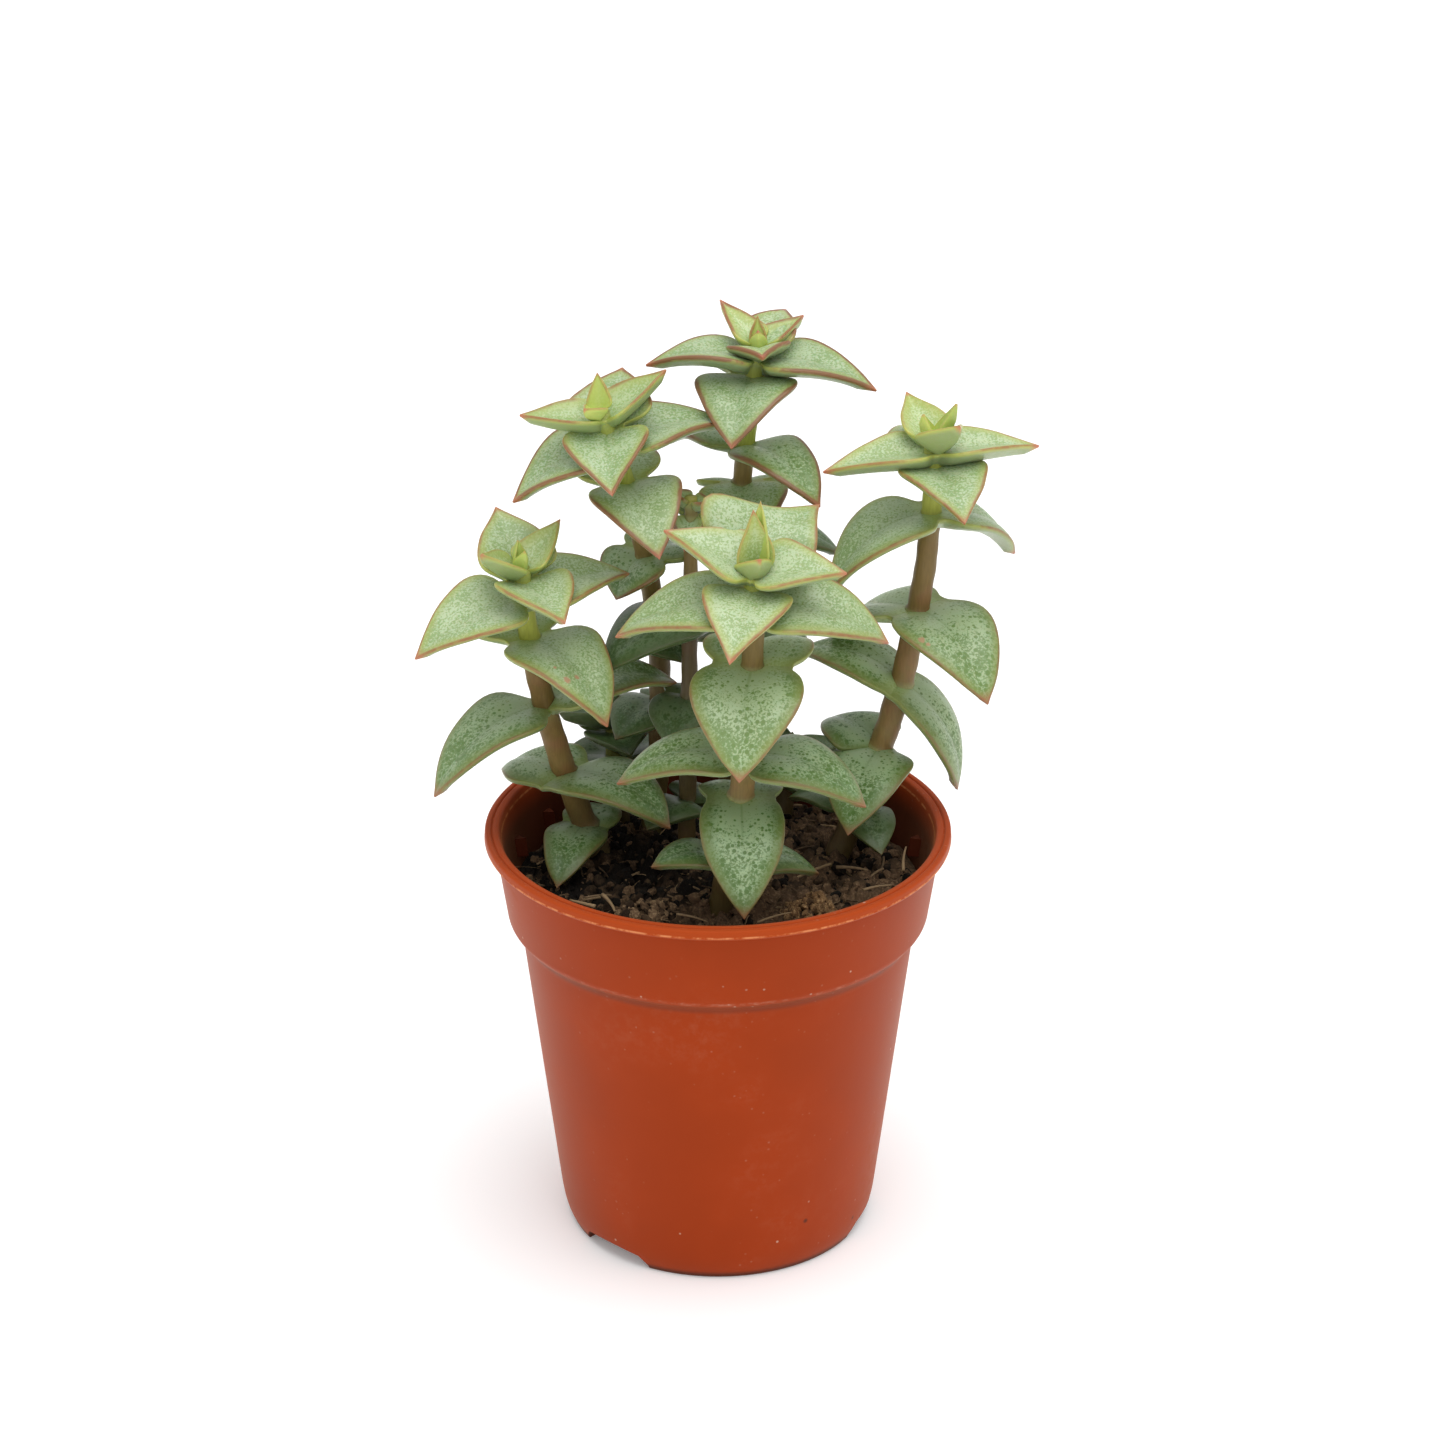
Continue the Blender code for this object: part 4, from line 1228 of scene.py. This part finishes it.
@dataclass
class Pot:
    """Moulded nursery pot: rim, straight collar, slanted ledge, tapered body and notched foot.

    Its fields are millimetres from the pot's axis and from the surface it stands on, and its
    angles are degrees.
    """

    height: float = 51.2
    rim: float = 27.5
    bead_height: float = 1.3
    lip: float = 1.7
    collar_top: float = 26.3
    collar_foot: float = 24.9
    collar_foot_z: float = 40.3
    ledge: float = 23.4
    ledge_z: float = 39.0
    base: float = 18.7
    corner: float = 17.9
    corner_height: float = 2.2
    wall: float = 0.9
    foot_width: float = 1.0
    foot_draft: float = 0.3
    underside_z: float = 2.0
    floor: float = 1.0
    notch_angles: Sequence[float] = (-43.6, 76.4, 196.4)
    notch_rise: float = 2.2
    notch_half_width: float = 5.1
    notch_depth: float = 5.0
    notch_square: float = 0.35
    notch_sides: int = 64
    drain_radius: float = 1.7
    drain_depth: float = 4.0
    drain_sides: int = 32
    drain_ring: float = 11.5
    drain_holes: int = 6
    lug_count: int = 19
    lug_radius: float = 1.1
    lug_foot_z: float = 44.3
    lug_height: float = 2.3
    lug_sides: int = 3
    rounding_steps: int = 5
    sides: int = 240
    sharp_angle: float = 38.0
    chafe_z: float = 40.35
    rim_edge_z: float = 50.3

    @classmethod
    def bead_z(cls) -> float:
        """Height of the rim's underside."""
        return cls.height - cls.bead_height

    @classmethod
    def inner_radius(cls, z: float) -> float:
        """Radius of the inner wall at a height."""
        if z >= cls.collar_foot_z:
            share = (z - cls.collar_foot_z) / (cls.bead_z() - cls.collar_foot_z)
            return cls.collar_foot + (cls.collar_top - cls.collar_foot) * share - cls.wall
        return cls.base + (cls.ledge - cls.base) * z / cls.ledge_z - cls.wall

    def path(self) -> list[Spot]:
        """Section of the pot, up the inside, over the rim and down the outside."""
        floor_z = self.underside_z + self.floor
        under_rim = self.bead_z()
        corners = (
            (0.0, floor_z, 0.0),
            (self.inner_radius(floor_z), floor_z, 1.2),
            (self.inner_radius(self.ledge_z - 0.4), self.ledge_z - 0.4, 0.8),
            (self.collar_foot - self.wall, self.collar_foot_z, 0.8),
            (self.inner_radius(under_rim), under_rim, 0.5),
            (self.rim - self.lip, self.height - 0.05, 0.30),
            (self.rim - 1.02, self.height, 0.12),
            (self.rim - 0.84, self.height - 0.28, 0.12),
            (self.rim - 0.66, self.height, 0.12),
            (self.rim, self.height - 0.05, 0.42),
            (self.rim, self.height - 0.80, 0.10),
            (self.rim + 0.05, self.height - 0.95, 0.05),
            (self.rim - 0.15, under_rim + 0.05, 0.12),
            (self.collar_top + 0.02, under_rim - 0.1, 0.25),
            (self.collar_foot, self.collar_foot_z, 0.6),
            (self.ledge, self.ledge_z, 1.0),
            (self.base + 0.15, self.corner_height, 2.6),
            (self.corner, 0.0, 0.25),
            (self.corner - self.foot_width, 0.0, 0.2),
            (self.corner - self.foot_width - self.foot_draft, self.underside_z, 0.2),
            (0.0, self.underside_z, 0.0),
        )
        return rounded_path(corners, self.rounding_steps)

    @staticmethod
    def tool(radius: float, depth: float, place: Matrix, sides: int,
             group: bpy.types.Collection, square: float = 0.0) -> None:
        """Add a capped cylinder or rib, to be cut away or joined on.

        Args:
            radius: radius of the cylinder, in millimetres.
            depth: its length.
            place: where it stands.
            sides: faces round it.
            group: collection that it goes into.
            square: 0 for a round section, and up to 1 for one with nearly square corners.
        """
        shape = bmesh.new()
        bmesh.ops.create_cone(shape, cap_ends=True, segments=sides, radius1=radius * MM,
                              radius2=radius * MM, depth=depth * MM)
        for vertex in shape.verts:
            away = Vector((vertex.co.x, vertex.co.y)).length
            if away > 0.0:
                longest = max(abs(vertex.co.x), abs(vertex.co.y))
                grow = 1.0 + square * (away / longest - 1.0)
                vertex.co.x *= grow
                vertex.co.y *= grow
        shape.transform(Matrix.Translation((POT_AXIS_X, 0.0, 0.0)) @ place)
        group.objects.link(bpy.data.objects.new("tool", mesh_of(shape, "tool")))

    @staticmethod
    def combine(thing: Thing, group: bpy.types.Collection, operation: str) -> None:
        """Join a collection's objects to the pot, or cut them away, and remove them."""
        boolean = thing.modifiers.new("Combine", "BOOLEAN")
        boolean.operation = operation
        boolean.operand_type = "COLLECTION"
        boolean.collection = group
        boolean.solver = "EXACT"
        applied(thing)
        for tool in list(group.objects):
            bpy.data.objects.remove(tool, do_unlink=True)

    def add_lugs(self, group: bpy.types.Collection) -> None:
        """Stacking ribs inside the collar, each with its ridge inward."""
        middle_z = self.lug_foot_z + 0.5 * self.lug_height
        reach = self.inner_radius(middle_z) + 0.5 * self.wall - 0.5 * self.lug_radius
        lean = Matrix.Identity(4)
        lean[0][2] = (self.collar_top - self.collar_foot) / (self.height - self.collar_foot_z)
        shift = Matrix.Translation((reach * MM, 0.0, middle_z * MM))
        inward = Matrix.Rotation(math.radians(90), 4, "Z")
        for index in range(self.lug_count):
            turn = Matrix.Rotation(math.tau * (0.25 + index / self.lug_count), 4, "Z")
            place = turn @ shift @ lean @ inward
            self.tool(self.lug_radius, self.lug_height, place, self.lug_sides, group)

    def add_holes(self, group: bpy.types.Collection) -> None:
        """Drain holes in the floor and arched notches in the foot."""
        centres = [(0.0, 0.0)]
        for index in range(self.drain_holes):
            angle = math.tau * index / self.drain_holes
            centres.append((self.drain_ring * math.cos(angle), self.drain_ring * math.sin(angle)))
        for x, y in centres:
            place = Matrix.Translation((x * MM, y * MM, self.underside_z * MM))
            self.tool(self.drain_radius, self.drain_depth, place, self.drain_sides, group)
        for degrees in self.notch_angles:
            angle = math.radians(degrees)
            outward = Vector((math.sin(angle), -math.cos(angle), 0.0))
            turn = outward.to_track_quat("Z", "Y").to_matrix().to_4x4()
            stretch = Matrix.Diagonal((self.notch_half_width / self.notch_rise, 1.0, 1.0, 1.0))
            place = Matrix.Translation(outward * self.base * MM) @ turn @ stretch
            self.tool(self.notch_rise, self.notch_depth, place, self.notch_sides, group,
                      self.notch_square)

    def build(self) -> Thing:
        """Build and dress the pot, in the place of its CAD node."""
        thing = new_object("nursery_pot", turned_mesh("nursery_pot", self.path(), self.sides))
        group = bpy.data.collections.new("pot_tools")
        bpy.context.scene.collection.children.link(group)
        self.add_lugs(group)
        self.combine(thing, group, "UNION")
        self.add_holes(group)
        self.combine(thing, group, "DIFFERENCE")
        bpy.data.collections.remove(group)
        thing.data.shade_smooth()
        thing.data.set_sharp_from_angle(angle=math.radians(self.sharp_angle))
        dress(thing, PLASTIC)
        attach(thing, BODY)
        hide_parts("pot")
        return thing


@dataclass(frozen=True)
class Straw:
    """One straw on the soil: where it starts and ends, how high its ends lie, and its radius."""

    start: Spot
    end: Spot
    start_rise: float
    end_rise: float
    radius: float
    bend: float = 0.15
    sides: int = 7
    steps: int = 9

    def add(self, shape: bmesh.types.BMesh, layer: object, soil: "Soil", tone: float) -> None:
        """Add the straw to a mesh, with its tone on every vertex."""
        points = []
        across = Vector((self.start[1] - self.end[1], self.end[0] - self.start[0], 0.0))
        across.normalize()
        for step in range(self.steps + 1):
            share = step / self.steps
            x = self.start[0] + (self.end[0] - self.start[0]) * share
            y = self.start[1] + (self.end[1] - self.start[1]) * share
            ground = (1.0 - share) * soil.surface_z(*self.start) + share * soil.surface_z(*self.end)
            rise = self.start_rise + (self.end_rise - self.start_rise) * share
            bow = arch(share) * self.bend
            points.append(Vector((x, y, ground + rise + 0.5 * bow)) + across * bow)
        rings = []
        for step, point in enumerate(points):
            along = points[min(step + 1, self.steps)] - points[max(step - 1, 0)]
            side = along.cross(Vector((0.0, 0.3, 1.0))).normalized()
            over = along.cross(side).normalized()
            radius = self.radius * (1.0 - 0.5 * step / self.steps)
            ring = []
            for k in range(self.sides):
                angle = math.tau * k / self.sides
                away = (side * math.cos(angle) + over * math.sin(angle)) * radius
                vertex = shape.verts.new(placed(point + away))
                vertex[layer] = (tone, 0.0, 0.0)
                ring.append(vertex)
            rings.append(ring)
        shape.faces.new(rings[0])
        shape.faces.new(rings[-1])
        for ring, following in zip(rings, rings[1:]):
            for k in range(self.sides):
                after = (k + 1) % self.sides
                shape.faces.new((ring[k], ring[after], following[after], following[k]))


@dataclass
class Soil:
    """Peat plug with a rough top, and the crumbs, fibres and straws that lie on it.

    Clods are rows of level, pitch and height of a pattern of cells. Swells are rows of level,
    pitch, smoothness, octaves and height of a noise. Waves are rows of pitch and phase along x,
    pitch and phase along y, and height.
    """

    z: float = 45.2
    edge_drop: float = 1.6
    bump: float = 0.7
    edge_calm: float = 0.75
    top_radius: float = 24.0
    floor_z: float = 3.0
    gap: float = 0.3
    rings: int = 110
    sides: int = 300
    tone_scale: float = 260.0
    clods: Sequence[Triple] = ((3.0, 0.42, 1.9), (7.0, 1.15, 0.9))
    clod_middle: float = 0.42
    octave_ratio: float = 2.1
    rim_calm: float = 0.6
    bed_sides: int = 40
    bed_cuts: int = 12
    swells: Sequence[tuple[float, float, float, int, float]] = (
        (5.0, 0.33, 0.9, 4, 0.8), (9.0, 1.7, 0.8, 3, 0.35),
    )
    waves: Sequence[tuple[float, float, float, float, float]] = (
        (0.28, 1.7, 0.26, 0.9, 1.00),
        (0.63, 3.4, 0.48, 1.8, 0.50),
        (1.04, 5.1, 0.67, 2.7, 0.33),
        (1.52, 6.8, 0.82, 3.6, 0.25),
    )
    straws: Sequence[Straw] = (
        Straw((-14.2, -12.0), (-17.2, -9.6), 2.0, 1.6, 0.26),
        Straw((-13.4, -9.8), (-11.9, -13.6), 2.3, 1.9, 0.27),
        Straw((-15.5, -8.2), (-12.4, -8.8), 1.4, 1.7, 0.14),
        Straw((21.9, -2.0), (22.3, 1.2), 2.0, 3.6, 0.22),
        Straw((17.0, -7.5), (20.4, -5.6), 1.9, 1.7, 0.20),
        Straw((14.0, -1.5), (17.6, -3.4), 1.8, 2.1, 0.24),
        Straw((4.6, -15.2), (8.4, -14.3), 1.5, 1.7, 0.15),
        Straw((-4.8, -13.8), (-1.2, -15.0), 1.7, 1.6, 0.16),
        Straw((-20.8, 0.4), (-24.6, -6.0), 0.8, 5.2, 0.035, 0.8),
    )

    def surface_z(self, x: float, y: float) -> float:
        """Height of the CAD soil at a place, in millimetres."""
        bump = 0.0
        for pitch_x, phase_x, pitch_y, phase_y, height in self.waves:
            bump += height * math.sin(pitch_x * x + phase_x) * math.cos(pitch_y * y + phase_y)
        share = math.hypot(x, y) / self.top_radius
        calm = 1.0 - self.edge_calm * share ** 2
        return self.z + bump * self.bump * calm - self.edge_drop * share ** 3

    def rough_z(self, x: float, y: float) -> float:
        """Height of the crumbled surface at a place, in millimetres."""
        share = math.hypot(x, y) / self.top_radius
        calm = 1.0 - self.rim_calm * share ** 6
        rise = 0.0
        for level, pitch, height in self.clods:
            near = noise.voronoi(Vector((x, y, level)) * pitch)[0][0]
            rise += height * (self.clod_middle - near)
        for level, pitch, smooth, octaves, height in self.swells:
            point = Vector((x, y, level)) * pitch
            rise += height * noise.fractal(point, smooth, self.octave_ratio, octaves)
        return self.surface_z(x, y) + calm * rise

    def build_ground(self) -> Thing:
        """The peat itself, closed against the pot's wall and floor."""
        edge_z = Pot.collar_foot_z + 0.8
        ledge_z = Pot.ledge_z - 1.0
        path = [(0.0, self.z)]
        path += [(self.top_radius * ring / self.rings, self.z) for ring in range(1, self.rings + 1)]
        path += [
            (Pot.inner_radius(edge_z) - 1.5 * self.gap, edge_z),
            (Pot.inner_radius(ledge_z) - self.gap, ledge_z),
            (Pot.inner_radius(self.floor_z + 1.5) - self.gap, self.floor_z + 1.5),
            (Pot.inner_radius(self.floor_z) - 1.5, self.floor_z + self.gap),
            (0.0, self.floor_z + self.gap),
        ]
        mesh = turned_mesh("peat_ground", path, self.sides)
        mesh.flip_normals()
        for vertex in mesh.vertices:
            if vertex.co.z > (self.z - 0.1) * MM:
                x, y = (vertex.co.x - POT_AXIS_X) * PER_MM, vertex.co.y * PER_MM
                vertex.co.z = self.rough_z(x, y) * MM
        tones = (0.5 + 0.5 * noise.noise(vertex.co * self.tone_scale) for vertex in mesh.vertices)
        set_attribute(mesh, "crumb_tone", [(tone, 0.0, 0.0) for tone in tones])
        mesh.shade_smooth()
        thing = new_object("peat_soil", mesh)
        dress(thing, PEAT)
        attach(thing, BODY)
        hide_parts("soil")
        return thing

    def bed(self, centre: Spot, radius: float, lift: float) -> Mesh:
        """A coarse patch of the soil's surface, heaped by a lift, that matter is strewn on."""
        shape = bmesh.new()
        bmesh.ops.create_circle(shape, cap_ends=True, segments=self.bed_sides, radius=radius)
        bmesh.ops.triangulate(shape, faces=shape.faces)
        bmesh.ops.subdivide_edges(shape, edges=shape.edges, cuts=self.bed_cuts,
                                  use_grid_fill=True)
        for vertex in shape.verts:
            heap = lift * (1.0 - (math.hypot(vertex.co.x, vertex.co.y) / radius) ** 2)
            x, y = vertex.co.x + centre[0], vertex.co.y + centre[1]
            vertex.co = (x * MM + POT_AXIS_X, y * MM, (self.rough_z(x, y) + heap) * MM)
        return mesh_of(shape, "bed")

    def strew(self, grain: Grain, finish: Finish, recipe: "Strewing", centre: Spot,
              radius: float, lift: float = 0.0) -> Thing:
        """Strew loose matter on a patch of the soil.

        Args:
            grain: what is strewn.
            finish: its finish.
            recipe: how much of it there is, and its sizes.
            centre: middle of the patch, from the pot's axis.
            radius: radius of the patch.
            lift: height of the heap in its middle.

        Returns:
            The finished piece, one plain mesh.
        """
        thing = new_object(grain.value, self.bed(centre, radius, lift))
        recipe.apply(thing, finish.material(), grain)
        dress(thing, finish)
        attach(thing, BODY)
        return thing

    def lay_straws(self) -> Thing:
        """Lay the larger straws and the long hair, each a bent and tapered stick."""
        gathered = bmesh.new()
        layer = gathered.verts.layers.float_vector.new("crumb_tone")
        for number, straw in enumerate(self.straws):
            straw.add(gathered, layer, self, 1.0 - 0.6 * math.fmod(0.37 * number, 1.0))
        bmesh.ops.recalc_face_normals(gathered, faces=gathered.faces)
        thing = new_object("loose_straws", mesh_of(gathered, "loose_straws"))
        thing.data.shade_smooth()
        dress(thing, STRAW)
        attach(thing, BODY)
        return thing


@dataclass(frozen=True)
class Strewing:
    """A Geometry Nodes tree that strews crumbs or fibres on a mesh's faces.

    The density is per square metre, and sizes are millimetres.
    """

    density: float
    smallest: float
    largest: float
    seed: int
    uneven: float = 0.9
    size_power: float = 2.5
    fibre_tilt: float = 0.45
    rough_scale: float = 1400.0

    def tree(self, grain: Grain) -> bpy.types.NodeTree:
        """Build the tree: points on faces, a grain on each, realized, made uneven and dressed."""
        tree = bpy.data.node_groups.new("strew_" + grain.value, "GeometryNodeTree")
        kinds = {"Geometry": "Geometry", "Density": "Float", "Smallest": "Float",
                 "Largest": "Float", "Uneven": "Float", "Seed": "Int", "Material": "Material"}
        for name, kind in kinds.items():
            tree.interface.new_socket(name, in_out="INPUT", socket_type="NodeSocket" + kind)
        tree.interface.new_socket("Geometry", in_out="OUTPUT", socket_type="NodeSocketGeometry")
        web = Web(tree)
        given = web.add("NodeGroupInput", {}).outputs
        seed = {"Seed": given["Seed"]}
        points = web.out("GeometryNodeDistributePointsOnFaces", {
            "Mesh": given["Geometry"], "Density": given["Density"], **seed}, "Points",
            distribute_method="RANDOM")

        size = web.out("FunctionNodeRandomValue", {2: 0.0, 3: 1.0, **seed}, 1, data_type="FLOAT")
        spread = web.math("SUBTRACT", given["Largest"], given["Smallest"])
        scale = web.math("MULTIPLY_ADD", web.math("POWER", size, self.size_power), spread,
                         given["Smallest"])
        tilt = self.fibre_tilt if grain is Grain.FIBRE else math.tau
        turn = web.out("FunctionNodeRandomValue", {
            0: (-tilt, -tilt, 0.0), 1: (tilt, tilt, math.tau), **seed}, data_type="FLOAT_VECTOR")
        grains = web.out("GeometryNodeInstanceOnPoints", {
            "Points": points, "Rotation": turn, "Scale": scale,
            "Instance": self.fibre(web) if grain is Grain.FIBRE else self.crumb(web)})
        tone = web.out("FunctionNodeRandomValue", seed, data_type="FLOAT_VECTOR")
        kept = web.out("GeometryNodeStoreNamedAttribute", {
            "Name": "crumb_tone", "Geometry": grains, "Value": tone,
        }, data_type="FLOAT_VECTOR", domain="INSTANCE")
        real = web.out("GeometryNodeRealizeInstances", {0: kept})

        texture = {"Scale": self.rough_scale, "Detail": 3.0}
        centred = web.out("ShaderNodeVectorMath", {
            0: web.out("ShaderNodeTexNoise", texture, "Color"), 1: (0.5, 0.5, 0.5),
        }, operation="SUBTRACT")
        offset = web.out("ShaderNodeVectorMath", {0: centred, "Scale": given["Uneven"]},
                         operation="SCALE")
        moved = web.out("GeometryNodeSetPosition", {"Geometry": real, "Offset": offset})
        dressed = web.out("GeometryNodeSetMaterial", {
            "Geometry": moved, "Material": given["Material"]})
        web.add("NodeGroupOutput", {0: dressed})
        return tree

    @staticmethod
    def crumb(web: Web) -> Socket:
        """One crumb, a metre across, to be scaled down."""
        ball = web.out("GeometryNodeMeshIcoSphere", {"Radius": 0.5, "Subdivisions": 2}, "Mesh")
        return web.out("GeometryNodeTransform", {"Scale": (1.0, 0.72, 0.55), "Geometry": ball})

    @staticmethod
    def fibre(web: Web) -> Socket:
        """One bent fibre, a metre long, to be scaled down."""
        bend = web.out("GeometryNodeCurveQuadraticBezier", {
            "Resolution": 7, "Start": (-0.5, 0.0, 0.0), "Middle": (0.0, 0.16, 0.08),
            "End": (0.5, 0.0, 0.0)})
        ring = web.out("GeometryNodeCurvePrimitiveCircle", {"Resolution": 5, "Radius": 0.035},
                       "Curve")
        return web.out("GeometryNodeCurveToMesh", {
            "Fill Caps": True, "Curve": bend, "Profile Curve": ring})

    def apply(self, thing: Thing, material: bpy.types.Material, grain: Grain) -> None:
        """Run the tree on an object and keep its result as the object's plain mesh."""
        modifier = thing.modifiers.new("Strew", "NODES")
        modifier.node_group = self.tree(grain)
        values = {"Density": self.density, "Smallest": self.smallest * MM,
                  "Largest": self.largest * MM, "Uneven": self.uneven * MM,
                  "Seed": self.seed, "Material": material}
        for item in modifier.node_group.interface.items_tree:
            if item.in_out == "INPUT" and item.name in values:
                modifier[item.identifier] = values[item.name]
        applied(thing)


@dataclass
class Studio:
    """Pale floor, soft light and the camera at the photograph's viewing angle."""

    camera_place: Triple = (-0.00076, -0.4649, 0.2771)
    camera_pitch: float = 65.42
    lens: float = 109.15
    sensor: float = 36.0
    clip: Spot = (0.01, 50.0)
    floor_size: float = 40.0
    world: float = 0.60
    world_colour: Colour = (1.0, 1.0, 1.0)
    lights: Sequence[tuple[str, Triple, float, float]] = (
        ("top_light", (0.12, -0.12, 1.0), 1.95, 60.0),
        ("front_light", (0.0, -1.0, 0.60), 0.38, 50.0),
    )

    @staticmethod
    def light(name: str, origin: Triple, strength: float, spread: float) -> None:
        """Add a far soft light that shines from a direction, spread over some degrees."""
        lamp = bpy.data.lights.new(name, "SUN")
        lamp.energy = strength
        lamp.angle = math.radians(spread)
        thing = new_object(name, lamp)
        thing.location = origin
        thing.rotation_euler = (-Vector(origin)).to_track_quat("-Z", "Y").to_euler()

    def build(self) -> None:
        """Build the floor, the lights, the world and the camera."""
        scene = bpy.context.scene
        shape = bmesh.new()
        bmesh.ops.create_grid(shape, x_segments=1, y_segments=1, size=0.5 * self.floor_size)
        floor = new_object("pale_floor", mesh_of(shape, "pale_floor"))
        dress(floor, FLOOR)

        for row in self.lights:
            self.light(*row)

        world = bpy.data.worlds.new("studio_air")
        world.use_nodes = True
        Web(world.node_tree).feed(world.node_tree.nodes["Background"], {
            "Color": self.world_colour, "Strength": self.world})
        scene.world = world
        scene.view_settings.view_transform = "Standard"

        camera = bpy.data.cameras.new("camera")
        camera.lens = self.lens
        camera.sensor_width = self.sensor
        camera.clip_start, camera.clip_end = self.clip
        thing = new_object("camera", camera)
        thing.location = self.camera_place
        thing.rotation_euler = (math.radians(self.camera_pitch), 0.0, 0.0)
        scene.camera = thing


# What is strewn, its finish and recipe, then the middle, radius and heap of its patch
STREWN = (
    (Grain.CRUMB, CRUMB, Strewing(1.1e6, 0.3, 2.3, 11), (0.0, 0.0), 22.8),
    (Grain.CLUMP, CLUMP, Strewing(5.0e6, 0.3, 1.5, 5), (10.6, -10.4), 3.2, 1.9),
    (Grain.HEAP, HEAP, Strewing(3.2e6, 0.4, 1.8, 17), (-8.8, -11.0), 4.6, 0.9),
    (Grain.FIBRE, STRAW, Strewing(1.5e5, 1.2, 5.0, 23, uneven=0.3), (0.0, 0.0), 22.0),
)


def report(thing: Thing) -> None:
    """Log a finished piece."""
    LOG.info("%s: %d faces", thing.name, len(thing.data.polygons))


def main() -> None:
    """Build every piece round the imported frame."""
    logging.basicConfig(level=logging.INFO, format="%(name)s %(message)s")
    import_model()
    Studio().build()
    report(Pot().build())
    soil = Soil()
    report(soil.build_ground())
    for row in STREWN:
        report(soil.strew(*row))
    report(soil.lay_straws())
    for shoot in SHOOTS:
        report(shoot.build())


if __name__ == "__main__":
    main()
